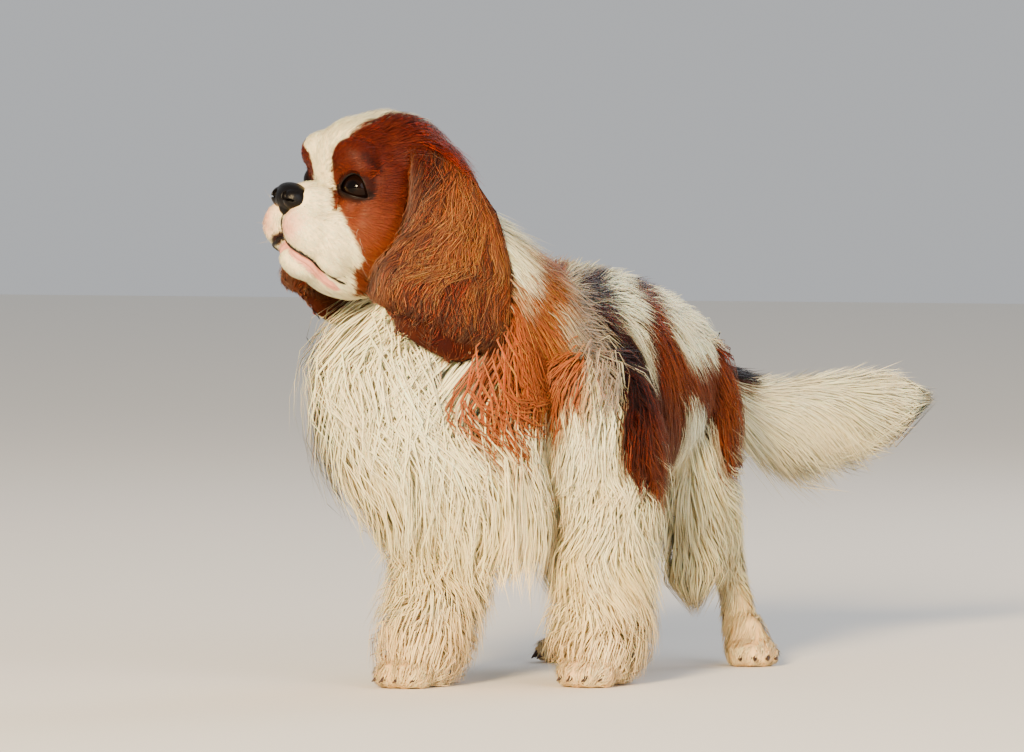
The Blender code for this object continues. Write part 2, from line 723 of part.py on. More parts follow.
def wire(name, points, radius):
    """A closed tube along those points."""
    curve = bpy.data.curves.new(name, "CURVE")
    curve.dimensions = "3D"
    curve.bevel_depth = radius
    curve.bevel_resolution = 1
    curve.use_fill_caps = True
    spline = curve.splines.new("POLY")
    spline.points.add(len(points) - 1)
    for place, point in zip(spline.points, points):
        place.co = (*point, 1.0)
    guide = new_object(name, curve)
    made = applied(guide)
    shape = bmesh.new()
    shape.from_mesh(made.data)
    bmesh.ops.remove_doubles(shape, verts=shape.verts, dist=0.00001)
    bmesh.ops.recalc_face_normals(shape, faces=shape.faces)
    shape.to_mesh(made.data)
    shape.free()
    return made


def eye_matrix(mirror):
    return head_matrix(mirrored(EYE_AT, mirror), EYE_TURN * mirror)


def eye(name, mirror):
    return ellipsoid(name, eye_matrix(mirror), (EYE_RADIUS,) * 3, 12, 8)


def eye_opening(mirror):
    """An almond-shaped cutter that looks out of the head between the lids."""
    shape = bmesh.new()
    bmesh.ops.create_cone(shape, cap_ends=True, segments=16, radius1=1.0, radius2=1.6, depth=1.0)
    turn = Matrix.Rotation(math.pi / 2, 4, "Y")
    wide, high = LID_OPENING
    lift = Matrix.Translation((EYE_RADIUS * 1.05, 0, 0)) @ Matrix.Diagonal((EYE_RADIUS, wide, high, 1.0))
    bmesh.ops.transform(shape, matrix=eye_matrix(mirror) @ lift @ turn, verts=shape.verts)
    return from_bmesh("opening", shape)


def head_shape():
    forms = []
    for place, half in HEAD_FORMS:
        for mirror in ((1, -1) if place[1] else (1,)):
            forms.append(ellipsoid("form", head_matrix(mirrored(place, mirror)), half))
    head = fused("head", forms, HEAD_VOXEL, 10, HEAD_TRIANGLES)
    lids = [
        ellipsoid("lids", eye_matrix(mirror), (EYE_RADIUS + LID_DEPTH,) * 3, 14, 9)
        for mirror in (1, -1)
    ]
    groove = wire("mouth", mouth_guide(head), MOUTH_GROOVE)
    head = combined(head, "UNION", lids)
    cutters = [eye_opening(mirror) for mirror in (1, -1)] + [groove]
    cutters += [
        ellipsoid("socket", eye_matrix(mirror), (EYE_RADIUS + GAP * 1.5,) * 3, 12, 8)
        for mirror in (1, -1)
    ]
    return combined(head, "DIFFERENCE", cutters)


def nose_shape(head_room):
    nose = ellipsoid("nose", head_matrix(NOSE_AT), NOSE_HALF, 12, 8)
    nostrils = [
        ellipsoid("nostril", head_matrix(mirrored(NOSTRIL_AT, mirror)), NOSTRIL_HALF, 8, 6)
        for mirror in (1, -1)
    ]
    nose = combined(nose, "DIFFERENCE", nostrils)
    return combined(nose, "DIFFERENCE", [head_room], keep_others=True)


def ear_rows(mirror, extra=0.0, share=1.0):
    top, tip = EAR[0][2], EAR[-1][2]
    back = RIGHT_EAR_BACK if mirror < 0 else 0.0
    rows = []
    for forward, left, up, wide, thick in EAR:
        swept = forward - back * (top - up) / (top - tip)
        slim = thick * (1 + share) / 2
        edge = wide - EAR_FRINGE * (1 - share) * (top - up) / (top - tip)
        rows.append((*head_point((swept, left * mirror, up)), edge + extra, slim + extra))
    return rows


def ear_room(mirror, extra=0.0):
    return tube("ear_room", ear_rows(mirror, EAR_ROOM + extra), head_axes()[0], steps=2, around=14)


def ear_shape(name, mirror, head_room):
    ear = tube(name, ear_rows(mirror, share=SHARE), head_axes()[0], steps=2, around=14)
    dice = random.Random(LOCK_SEED + mirror)
    ear = combined(ear, "UNION", list(ear_locks(tree_of(ear), mirror, dice)))
    ear = combined(ear, "INTERSECT", [ear_room(mirror)])
    return combined(ear, "DIFFERENCE", [head_room], keep_others=True)


def neck_ball(extra=0.0):
    centre, radius = NECK_CUT
    return ellipsoid("neck_room", Matrix.Translation(centre), (radius + extra,) * 3, 20, 14)


def foreleg_room(mirror, step, out, extra=0.0):
    rows = coated(stepped(FORELEG, mirror, step, out), FORE_AFT, 1.0, FORELEG_CUT_MARGIN + extra)
    rows = rows[FORELEG_CUT_FROM:]
    foot = rows[-1]
    toes = foot[3] + FOREPAW_FORWARD, foot[4] + FOREPAW_FORWARD
    below = (foot[0], foot[1] - FOREPAW_FORWARD, -BELOW_FLOOR - extra, *toes)
    return tube("foreleg_room", rows + [below], SIDE, steps=3, around=20)


def hindleg_room(mirror, extra=0.0):
    (y1, z1), (y2, z2) = THIGH_CUT
    slope = math.atan2(z2 - z1, y2 - y1)
    length = math.hypot(y2 - y1, z2 - z1)
    low, reach = 0.15, 0.12
    place = Matrix.Translation((0, y1, z1)) @ Matrix.Rotation(slope, 4, "X")
    centre = Matrix.Translation((mirror * (reach + GAP / 2), length / 2 + 0.01, -low))
    return block("hindleg_room", place @ centre, (reach + extra, length / 2 + 0.03 + extra, low + extra))


def tail_room(extra=0.0):
    half = 0.15
    heading = Matrix.Rotation(-TAIL_SWING, 4, "Z")
    place = Matrix.Translation(TAIL_ROOT) @ heading @ Matrix.Translation((0, TAIL_CUT + half, -0.02))
    return block("tail_room", place, (0.08, half + extra, 0.08))


def centre_on_floor(nodes):
    """Moves everything sideways so that the middle of the whole lies over the origin."""
    points = [vert.co for made in nodes.values() for vert in made.data.vertices]
    low = [min(point[axis] for point in points) for axis in range(2)]
    high = [max(point[axis] for point in points) for axis in range(2)]
    shift = Matrix.Translation((-(low[0] + high[0]) / 2, -(low[1] + high[1]) / 2, 0))
    for made in nodes.values():
        made.data.transform(shift)


def finish(made, name, colour, roughness, collection):
    made.name = name
    made.data.name = name
    material = bpy.data.materials.new(name)
    material.use_nodes = True
    shader = material.node_tree.nodes["Principled BSDF"]
    shader.inputs["Base Color"].default_value = (*colour, 1.0)
    shader.inputs["Roughness"].default_value = roughness
    made.data.materials.clear()
    made.data.materials.append(material)
    bpy.context.scene.collection.objects.unlink(made)
    collection.objects.link(made)


CREAM = (0.78, 0.66, 0.52)
CHESTNUT = (0.32, 0.11, 0.04)
BLACK = (0.012, 0.010, 0.010)
BROWN_BLACK = (0.03, 0.012, 0.006)


def main():
    for item in list(bpy.data.objects):
        bpy.data.objects.remove(item)
    head = head_shape()
    head_room = grown(head, GAP)
    nose = nose_shape(head_room)
    ears = [ear_shape("ear", mirror, head_room) for mirror in (1, -1)]
    ear_rooms = [ear_room(mirror, GAP) for mirror in (1, -1)]
    whole = whole_body(SHARE)
    whole = combined(whole, "DIFFERENCE", [head_room] + ear_rooms)

    nodes = {"head": head, "nose": nose, "ear_left": ears[0], "ear_right": ears[1]}
    nodes["eye_left"] = eye("eye_left", 1)
    nodes["eye_right"] = eye("eye_right", -1)
    rooms = {"neck": (neck_ball(), neck_ball(GAP))}
    rooms["tail"] = (tail_room(), tail_room(GAP))
    for side, (mirror, step, _, out) in zip(("left", "right"), legs()):
        rooms["foreleg_" + side] = (foreleg_room(mirror, step, out), foreleg_room(mirror, step, out, GAP))
        rooms["hindleg_" + side] = (hindleg_room(mirror), hindleg_room(mirror, GAP))
    for name, (room, taken) in rooms.items():
        nodes[name] = combined(copied(whole, name), "INTERSECT", [room])
        whole = combined(whole, "DIFFERENCE", [taken])
    nodes["torso"] = whole

    centre_on_floor(nodes)
    dog = bpy.data.collections.new("spaniel")
    bpy.context.scene.collection.children.link(dog)
    for name, made in nodes.items():
        colour, roughness = CREAM, 0.8
        if name in ("head", "ear_left", "ear_right"):
            colour = CHESTNUT
        if name == "nose":
            colour, roughness = BLACK, 0.4
        if name.startswith("eye"):
            colour, roughness = BROWN_BLACK, 0.08
        finish(made, name, colour, roughness, dog)


main()
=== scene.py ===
import math

import bmesh
import bpy
import numpy as np
from mathutils import Matrix, Vector
from mathutils.bvhtree import BVHTree
from mathutils.kdtree import KDTree


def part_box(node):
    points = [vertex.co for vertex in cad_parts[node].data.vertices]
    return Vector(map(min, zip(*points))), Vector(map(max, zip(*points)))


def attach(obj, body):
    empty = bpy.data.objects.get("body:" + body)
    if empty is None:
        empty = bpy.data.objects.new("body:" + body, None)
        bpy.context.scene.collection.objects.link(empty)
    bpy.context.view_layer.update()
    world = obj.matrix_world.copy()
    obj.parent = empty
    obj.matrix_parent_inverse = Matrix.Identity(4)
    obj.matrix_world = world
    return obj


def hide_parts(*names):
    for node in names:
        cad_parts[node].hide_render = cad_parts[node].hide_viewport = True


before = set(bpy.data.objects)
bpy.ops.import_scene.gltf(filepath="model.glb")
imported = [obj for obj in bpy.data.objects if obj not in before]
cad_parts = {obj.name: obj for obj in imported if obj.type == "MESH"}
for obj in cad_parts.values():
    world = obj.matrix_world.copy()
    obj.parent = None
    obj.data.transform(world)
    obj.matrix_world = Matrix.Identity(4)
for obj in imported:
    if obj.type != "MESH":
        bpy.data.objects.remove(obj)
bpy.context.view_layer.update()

# A standing spaniel: forward is -Y, its left is +X. The tables of sizes repeat those of the part's source.
headPose = {"at": (-0.0903, -0.2550, 0.3625), "turn": 32, "lift": 12, "tilt": 6}
eyeSize = {"radius": 0.0117, "at": (-0.0105, 0.0262, -0.0020), "turn": 32, "lid": 0.0030,
           "wide": 0.0118, "high": 0.0094}


def headAxes():
    turn, lift, tilt = (math.radians(headPose[name]) for name in ("turn", "lift", "tilt"))
    ahead = Vector((-math.sin(turn), -math.cos(turn), 0))
    left = Vector((math.cos(turn), -math.sin(turn), 0))
    up = Vector((0, 0, 1))
    ahead, up = ahead * math.cos(lift) + up * math.sin(lift), up * math.cos(lift) - ahead * math.sin(lift)
    left, up = left * math.cos(tilt) - up * math.sin(tilt), up * math.cos(tilt) + left * math.sin(tilt)
    return ahead, left, up


headForward, headLeft, headUp = headAxes()
bareEye = Vector(headPose["at"]) + sum(
    (axis * size for axis, size in zip((headForward, headLeft, headUp), eyeSize["at"])), Vector())
eyeLow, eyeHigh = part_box("eye_left")
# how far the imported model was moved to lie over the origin
centring = (eyeLow + eyeHigh) / 2 - bareEye
headAt = Vector(headPose["at"]) + centring
middle = np.array(centring)

# x, y, z, half width, half depth of the body itself, coat all round, further coat on the hanging side
trunkRows = np.array((
    (-0.006, -0.152, 0.208, 0.030, 0.028, 0.020, 0.008), (-0.004, -0.134, 0.210, 0.050, 0.048, 0.022, 0.012),
    (0.000, -0.106, 0.214, 0.060, 0.068, 0.021, 0.018), (0.000, -0.066, 0.2155, 0.066, 0.0735, 0.018, 0.020),
    (0.000, -0.020, 0.2145, 0.067, 0.0715, 0.018, 0.024), (0.000, 0.030, 0.215, 0.064, 0.065, 0.017, 0.030),
    (0.000, 0.078, 0.218, 0.055, 0.054, 0.016, 0.034), (0.000, 0.114, 0.219, 0.045, 0.046, 0.015, 0.022),
    (0.000, 0.144, 0.2175, 0.036, 0.040, 0.012, 0.006), (0.000, 0.166, 0.2165, 0.024, 0.030, 0.008, 0.000)))
neckRows = np.array((
    (0.000, -0.070, 0.212, 0.055, 0.052, 0.014, 0.0), (-0.008, -0.118, 0.241, 0.050, 0.047, 0.015, 0.0),
    (-0.023, -0.156, 0.274, 0.045, 0.043, 0.016, 0.0), (-0.040, -0.192, 0.312, 0.041, 0.040, 0.010, 0.0),
    (-0.054, -0.214, 0.344, 0.035, 0.034, 0.005, 0.0)))
forelegRows = np.array((
    (0.046, -0.118, 0.215, 0.028, 0.040, 0.016, 0.000), (0.050, -0.110, 0.180, 0.028, 0.036, 0.018, 0.002),
    (0.053, -0.098, 0.148, 0.022, 0.026, 0.021, 0.008), (0.053, -0.098, 0.105, 0.0165, 0.019, 0.024, 0.012),
    (0.053, -0.101, 0.062, 0.0145, 0.016, 0.029, 0.012), (0.053, -0.105, 0.034, 0.0150, 0.016, 0.032, 0.010),
    (0.053, -0.107, 0.022, 0.0155, 0.017, 0.030, 0.006)))
hindlegRows = np.array((
    (0.030, 0.112, 0.226, 0.022, 0.036, 0.010, 0.000), (0.034, 0.108, 0.186, 0.025, 0.042, 0.011, 0.006),
    (0.040, 0.092, 0.146, 0.021, 0.032, 0.012, 0.012), (0.043, 0.116, 0.110, 0.015, 0.020, 0.012, 0.006),
    (0.045, 0.146, 0.082, 0.0105, 0.013, 0.004, 0.000), (0.052, 0.152, 0.048, 0.0095, 0.0105, 0.003, 0.000),
    (0.058, 0.150, 0.024, 0.012, 0.012, 0.003, 0.000)))
fringeRows = np.array((
    (0.044, 0.086, 0.140, 0.014, 0.018, 0.016, 0.0), (0.046, 0.080, 0.105, 0.008, 0.012, 0.020, 0.0),
    (0.048, 0.078, 0.074, 0.005, 0.009, 0.020, 0.0), (0.049, 0.078, 0.060, 0.003, 0.006, 0.016, 0.0)))
tailRoot = Vector((-0.006, 0.158, 0.236))
# distance from the root and rise, then as above
tailRows = (
    (0.000, -0.004, 0.0140, 0.0130, 0.005, 0.000), (0.045, -0.026, 0.0120, 0.0110, 0.005, 0.012),
    (0.085, -0.040, 0.0100, 0.0095, 0.006, 0.032), (0.125, -0.043, 0.0090, 0.0085, 0.009, 0.048),
    (0.165, -0.041, 0.0080, 0.0075, 0.013, 0.052), (0.205, -0.040, 0.0060, 0.0060, 0.015, 0.040),
    (0.236, -0.041, 0.0030, 0.0030, 0.016, 0.022), (0.252, -0.041, 0.0010, 0.0010, 0.012, 0.008))
bibRoot = np.array((
    (-0.020, -0.150, 0.268, 0.048, 0.037), (-0.024, -0.158, 0.238, 0.062, 0.042),
    (-0.026, -0.160, 0.204, 0.066, 0.043), (-0.020, -0.154, 0.176, 0.058, 0.038),
    (-0.012, -0.142, 0.154, 0.044, 0.032), (-0.008, -0.132, 0.138, 0.030, 0.022),
    (-0.006, -0.126, 0.128, 0.016, 0.014)))
bibTips = np.array((
    (-0.040, -0.174, 0.272, 0.070, 0.048), (-0.050, -0.187, 0.236, 0.090, 0.061),
    (-0.050, -0.191, 0.196, 0.096, 0.063), (-0.047, -0.186, 0.152, 0.097, 0.058),
    (-0.045, -0.174, 0.110, 0.095, 0.053), (-0.038, -0.158, 0.074, 0.083, 0.048),
    (-0.026, -0.146, 0.044, 0.058, 0.032)))
# forward, left, up on the head, half width along the head, half thickness with its hair
earRows = (
    (-0.050, 0.018, 0.046, 0.010, 0.003), (-0.056, 0.042, 0.030, 0.024, 0.006),
    (-0.065, 0.054, 0.005, 0.036, 0.008), (-0.073, 0.060, -0.020, 0.047, 0.009),
    (-0.075, 0.064, -0.046, 0.058, 0.010), (-0.073, 0.066, -0.068, 0.063, 0.010),
    (-0.071, 0.066, -0.086, 0.056, 0.009), (-0.068, 0.065, -0.098, 0.038, 0.006))
# centre, then half sizes; one that isn't on the middle line is made on both sides
headForms = (
    ((-0.058, 0.0, 0.004), (0.058, 0.047, 0.046)), ((-0.024, 0.0, 0.014), (0.037, 0.042, 0.036)),
    ((-0.008, 0.024, 0.013), (0.017, 0.019, 0.015)), ((0.003, 0.0, -0.021), (0.029, 0.020, 0.020)),
    ((0.009, 0.0, -0.036), (0.026, 0.026, 0.020)), ((0.012, 0.014, -0.040), (0.024, 0.018, 0.018)),
    ((-0.010, 0.021, -0.050), (0.022, 0.013, 0.019)), ((0.000, 0.0, -0.061), (0.025, 0.019, 0.015)),
    ((-0.028, 0.0, -0.058), (0.036, 0.031, 0.024)), ((-0.034, 0.030, -0.026), (0.034, 0.023, 0.038)),
    ((-0.036, 0.030, 0.000), (0.030, 0.019, 0.030)), ((-0.058, 0.0, -0.035), (0.042, 0.038, 0.036)))
pawForms = (
    ((0.000, 0.0000, 0.0125), (0.0200, 0.0175, 0.0135)), ((0.000, 0.0000, 0.0260), (0.0150, 0.0140, 0.0160)),
    ((0.021, 0.0055, 0.0095), (0.0140, 0.0066, 0.0105)), ((0.021, -0.0055, 0.0095), (0.0140, 0.0066, 0.0105)),
    ((0.014, 0.0150, 0.0085), (0.0135, 0.0062, 0.0095)), ((0.014, -0.0150, 0.0085), (0.0135, 0.0062, 0.0095)))
tailSwing = math.radians(25)
tailWay = Vector((math.sin(tailSwing), math.cos(tailSwing), 0))
tailSide = Vector((math.cos(tailSwing), -math.sin(tailSwing), 0))
# mirror, forepaw forward, hindpaw forward, forepaw out
legSides = (("left", 1, 0.0, 0.0, 0.0), ("right", -1, 0.062, 0.016, 0.006))
dice = np.random.default_rng(23)


# sRGB hex to linear
def tone(code):
    values = [int(code[i:i + 2], 16) / 255 for i in (1, 3, 5)]
    return tuple(v / 12.92 if v <= 0.04045 else ((v + 0.055) / 1.055) ** 2.4 for v in values)


def headPoint(place):
    return headAt + headForward * place[0] + headLeft * place[1] + headUp * place[2]


def headMatrix(place, turn=0.0):
    axes = Matrix((headForward, headLeft, headUp)).transposed().to_4x4()
    return Matrix.Translation(headPoint(place)) @ axes @ Matrix.Rotation(turn, 4, "Z")


def unit(rows):
    return rows / np.maximum(np.linalg.norm(rows, axis=-1, keepdims=True), 1e-9)


def ease(value, low, high):
    t = np.clip((value - low) / (high - low), 0, 1)
    return t * t * (3 - 2 * t)


# share 0 gives the colour, 1 the other
def blend(colour, other, share):
    return colour + (other - colour) * share[:, None]


# smooth noise for the colours and the lie of the hair
def latticeNoise(points, size, seed):
    spots = points / size + seed * 17.3
    cell = np.floor(spots).astype(np.int64)
    t = spots - cell
    t = t * t * (3 - 2 * t)
    total = np.zeros(len(points))
    for corner in range(8):
        step = np.array([corner & 1, corner >> 1 & 1, corner >> 2 & 1])
        key = cell + step
        mixed = key[:, 0] * 374761393 + key[:, 1] * 668265263 + key[:, 2] * 2147483647 + seed * 144665
        mixed = (mixed ^ (mixed >> 13)) * 1274126177 & 0x7fffffff
        value = (mixed ^ (mixed >> 16)) % 65536 / 32768.0 - 1.0
        total += value * np.prod(np.where(step, t, 1 - t), axis=1)
    return total


# a smooth curve through the rows of a table
def runThrough(rows, u):
    last = len(rows) - 1
    i = np.clip(u.astype(int), 0, last - 1)
    t = (u - i)[:, None]
    a, b, c, d = rows[np.maximum(i - 1, 0)], rows[i], rows[i + 1], rows[np.minimum(i + 2, last)]
    return b + 0.5 * t * (c - a + t * (2 * a - 5 * b + 4 * c - d + t * (3 * b - a - 3 * c + d)))


# the body at share 0, the outside of its coat at share 1
def coated(rows, hangWay, share):
    grown = rows[:, :5].copy()
    coat, hang = rows[:, 5], rows[:, 6]
    grown[:, :3] += np.array(hangWay) * (hang * share / 2)[:, None]
    grown[:, 3] += coat * share
    grown[:, 4] += coat * share + hang * share / 2
    return grown


# A form is a row of sections. A point is placed on it by its distance along and its turn round.
def makeForm(name, skin, tips, side, openEnd=False):
    skin, tips = skin.copy(), tips.copy()
    skin[:, :3] += middle
    tips[:, :3] += middle
    steps = np.linspace(0, len(skin) - 1, 30 * len(skin))
    centres = runThrough(skin, steps)[:, :3]
    lengths = np.concatenate(([0], np.cumsum(np.linalg.norm(np.diff(centres, axis=0), axis=1))))
    caps = [min(row[3], row[4]) * math.pi / 2 for row in (skin[0], skin[-1])]
    return {"name": name, "skin": skin, "tips": tips, "side": np.array(side, float), "steps": steps,
            "lengths": lengths, "total": lengths[-1], "caps": caps, "openEnd": openEnd}


def onForm(form, distance, turn, share):
    total, (capStart, capEnd) = form["total"], form["caps"]
    inside = np.clip(distance, 0, total)
    u = np.interp(inside, form["lengths"], form["steps"])
    skin, tips = runThrough(form["skin"], u), runThrough(form["tips"], u)
    row = skin + (tips - skin) * share[:, None]
    last = len(form["skin"]) - 1
    ahead, behind = (runThrough(form["skin"], np.clip(u + step, 0, last)) for step in (0.05, -0.05))
    along = unit((ahead - behind)[:, :3])
    across = unit(np.cross(along, form["side"]))
    level = unit(np.cross(across, along))
    before, after = np.maximum(-distance, 0) / capStart, np.maximum(distance - total, 0) / capEnd
    past = before + after
    facing = np.where(before > 0, -1, 1)
    reach = np.minimum(row[:, 3], row[:, 4])
    if form["openEnd"]:
        bend = np.minimum(before, 1) * math.pi / 2
        outward = reach * np.sin(bend) * -1 + np.maximum(distance - total, 0)
    else:
        bend = np.minimum(past, 1) * math.pi / 2
        beyond = np.maximum(-distance - capStart, 0) + np.maximum(distance - total - capEnd, 0)
        outward = (reach * np.sin(bend) + beyond) * facing
    centre = row[:, :3] + along * outward[:, None]
    shrink = np.maximum(np.cos(bend), 0.02)
    x, y = (row[:, 3] * shrink)[:, None], (row[:, 4] * shrink)[:, None]
    c, s = np.cos(turn)[:, None], np.sin(turn)[:, None]
    point = centre + level * x * c + across * y * s
    roundWay = unit(across * y * c - level * x * s)
    normal = unit(level * y * c + across * x * s + along * (np.sin(bend) * facing * reach)[:, None])
    return point, normal, along, roundWay, (row[:, 3] + row[:, 4]) / 2 * shrink


# which points lie in the form, found slice by slice
def insideForm(form, points, share, margin=0.0):
    found = np.zeros(len(points), bool)
    distances = np.linspace(-form["caps"][0] * 0.6, form["total"] + form["caps"][1] * 0.6, 36)
    half = (distances[1] - distances[0]) * 0.75
    for distance in distances:
        one = np.array([distance])
        u = np.interp(np.clip(one, 0, form["total"]), form["lengths"], form["steps"])
        row = (runThrough(form["skin"], u) * (1 - share) + runThrough(form["tips"], u) * share)[0]
        zero = np.zeros(1)
        centre = sum(onForm(form, one, np.array([a]), zero + share)[0][0] for a in (0, math.pi)) / 2
        _, _, along, _, _ = onForm(form, one, zero, zero + share)
        across = unit(np.cross(along[0], form["side"]))
        level = unit(np.cross(across, along[0]))
        offset = points - centre
        past = max(-distance, distance - form["total"], 0)
        shrink = math.cos(min(past / max(form["caps"][0 if distance < 0 else 1], 1e-6), 0.95) * math.pi / 2)
        w, d = row[3] * shrink + margin, row[4] * shrink + margin
        within = (offset @ level / w) ** 2 + (offset @ across / d) ** 2 < 1
        found |= within & (np.abs(offset @ along[0]) < half)
    return found


down = np.array((0, 0, -1.0))
back = np.array((0, 1.0, 0))
sideways = np.array((1.0, 0, 0))


def stepped(rows, mirror, forward, out=0.0):
    moved = ((rows[0, 2] - rows[:, 2]) / (rows[0, 2] - rows[-1, 2])) ** 1.2
    result = rows.copy()
    result[:, 0] = mirror * (rows[:, 0] + out * moved)
    result[:, 1] = rows[:, 1] - forward * moved
    return result


def earSections(mirror, share):
    top, tip = earRows[0][2], earRows[-1][2]
    rows = []
    for forward, left, up, wide, thick in earRows:
        low = (top - up) / (top - tip)
        place = headPoint((forward - (0.012 * low if mirror < 0 else 0), left * mirror, up)) - centring
        rows.append((*place, wide - 0.012 * (1 - share) * low, thick * (1 + share) / 2))
    return np.array(rows)


def allForms():
    tail = np.array([(*(tailRoot + tailWay * run + Vector((0, 0, rise))), *rest)
                     for run, rise, *rest in tailRows])
    made = {}

    def add(name, rows, hang, side=sideways):
        made[name] = makeForm(name, coated(rows, hang, 0), coated(rows, hang, 1), side)

    add("trunk", trunkRows, down)
    add("neck", neckRows, down)
    add("tail", tail, down, tailSide)
    made["bib"] = makeForm("bib", bibRoot, bibTips, sideways)
    for side, mirror, foreStep, hindStep, out in legSides:
        add("foreleg_" + side, stepped(forelegRows, mirror, foreStep, out), back)
        add("hindleg_" + side, stepped(hindlegRows, mirror, hindStep), back)
        add("fringe_" + side, stepped(fringeRows, mirror, hindStep * 0.6), down)
        made["ear_" + side] = makeForm("ear_" + side, earSections(mirror, 0), earSections(mirror, 1),
                                       headForward, openEnd=True)
    return made


forms = allForms()
print("forms placed")


# The markings colour skin and hair alike. They are outlines on the body's left, as metres across the
# three-quarter side view and up. The right side is alike.
markings = {
    "shoulder": ((-0.030, 0.311), (-0.013, 0.307), (-0.006, 0.286), (-0.008, 0.254), (-0.010, 0.225),
                 (-0.005, 0.200), (0.000, 0.172), (-0.010, 0.186), (-0.018, 0.181), (-0.028, 0.154),
                 (-0.037, 0.172), (-0.050, 0.140), (-0.060, 0.160), (-0.070, 0.156), (-0.078, 0.172),
                 (-0.092, 0.170), (-0.106, 0.182), (-0.112, 0.200), (-0.100, 0.222), (-0.067, 0.241),
                 (-0.051, 0.260), (-0.038, 0.284)),
    "roan": ((-0.004, 0.301), (0.023, 0.301), (0.024, 0.274), (0.018, 0.252), (0.023, 0.236), (0.024, 0.212),
             (0.020, 0.184), (0.007, 0.179), (-0.002, 0.194), (-0.009, 0.223), (-0.008, 0.259),
             (-0.005, 0.281)),
    "flank": ((0.001, 0.296), (0.047, 0.296), (0.056, 0.281), (0.065, 0.260), (0.072, 0.239), (0.079, 0.221),
              (0.079, 0.201), (0.072, 0.179), (0.059, 0.150), (0.053, 0.114), (0.036, 0.129), (0.023, 0.150),
              (0.016, 0.172), (0.020, 0.186), (0.023, 0.205), (0.023, 0.237), (0.016, 0.255), (0.010, 0.273)),
    "wedge": ((0.020, 0.301), (0.036, 0.298), (0.037, 0.281), (0.047, 0.266), (0.043, 0.257), (0.046, 0.241),
              (0.048, 0.221), (0.047, 0.207), (0.043, 0.221), (0.036, 0.241), (0.030, 0.257), (0.024, 0.273)),
    "croup": ((0.042, 0.296), (0.074, 0.286), (0.090, 0.257), (0.097, 0.233), (0.093, 0.222), (0.081, 0.216),
              (0.074, 0.224), (0.067, 0.242), (0.061, 0.263), (0.052, 0.282)),
    "rump": ((0.064, 0.225), (0.082, 0.228), (0.098, 0.232), (0.124, 0.222), (0.131, 0.205), (0.122, 0.180),
             (0.119, 0.165), (0.113, 0.138), (0.104, 0.123), (0.098, 0.145), (0.086, 0.168), (0.075, 0.163),
             (0.061, 0.160), (0.055, 0.182), (0.058, 0.209)),
    "thigh": ((0.073, 0.184), (0.082, 0.189), (0.088, 0.174), (0.085, 0.163), (0.091, 0.146), (0.074, 0.146),
              (0.070, 0.168)),
    "tailRoot": ((0.110, 0.222), (0.120, 0.222), (0.132, 0.212), (0.129, 0.206), (0.115, 0.207)),
}
coatTones = {
    "white": "#fdecbe", "cream": "#f1cf8c", "peach": "#e6a874", "roan": "#877466", "fox": "#843f1b",
    "chestnut": "#612509", "dark": "#160401", "black": "#140905", "ear": "#390e02", "earSunlit": "#773a15",
    "pink": "#e89f8c", "skull": "#451102", "cheek": "#6c2c10", "lip": "#2c1714", "paleTip": "#e8c49a",
    "pupil": "#050303", "iris": "#0f0603", "eyeRim": "#0c0605",
}
toneOf = {name: np.array(tone(code)) for name, code in coatTones.items()}


def outlineDistance(x, y, outline):
    ring = np.array(outline)
    nearest = np.full(len(x), 1e9)
    inside = np.zeros(len(x), bool)
    for (x1, y1), (x2, y2) in zip(ring, np.roll(ring, -1, axis=0)):
        run, rise = x2 - x1, y2 - y1
        t = np.clip(((x - x1) * run + (y - y1) * rise) / (run * run + rise * rise), 0, 1)
        nearest = np.minimum(nearest, np.hypot(x - x1 - t * run, y - y1 - t * rise))
        crosses = (y1 > y) != (y2 > y)
        with np.errstate(divide="ignore", invalid="ignore"):
            inside ^= crosses & (x < (x2 - x1) * (y - y1) / (y2 - y1 + 1e-12) + x1)
    return np.where(inside, nearest, -nearest)


def headCoordinates(points):
    offset = points - np.array(headAt)
    return offset @ np.array(headForward), offset @ np.array(headLeft), offset @ np.array(headUp)


def eyeGap(points, mirror):
    return np.linalg.norm(points - np.array(eyeMatrix(mirror).translation), axis=1)


def onEye(points, mirror):
    return ((points - np.array(eyeMatrix(mirror).translation)) @ np.array(eyeMatrix(mirror).to_3x3())).T


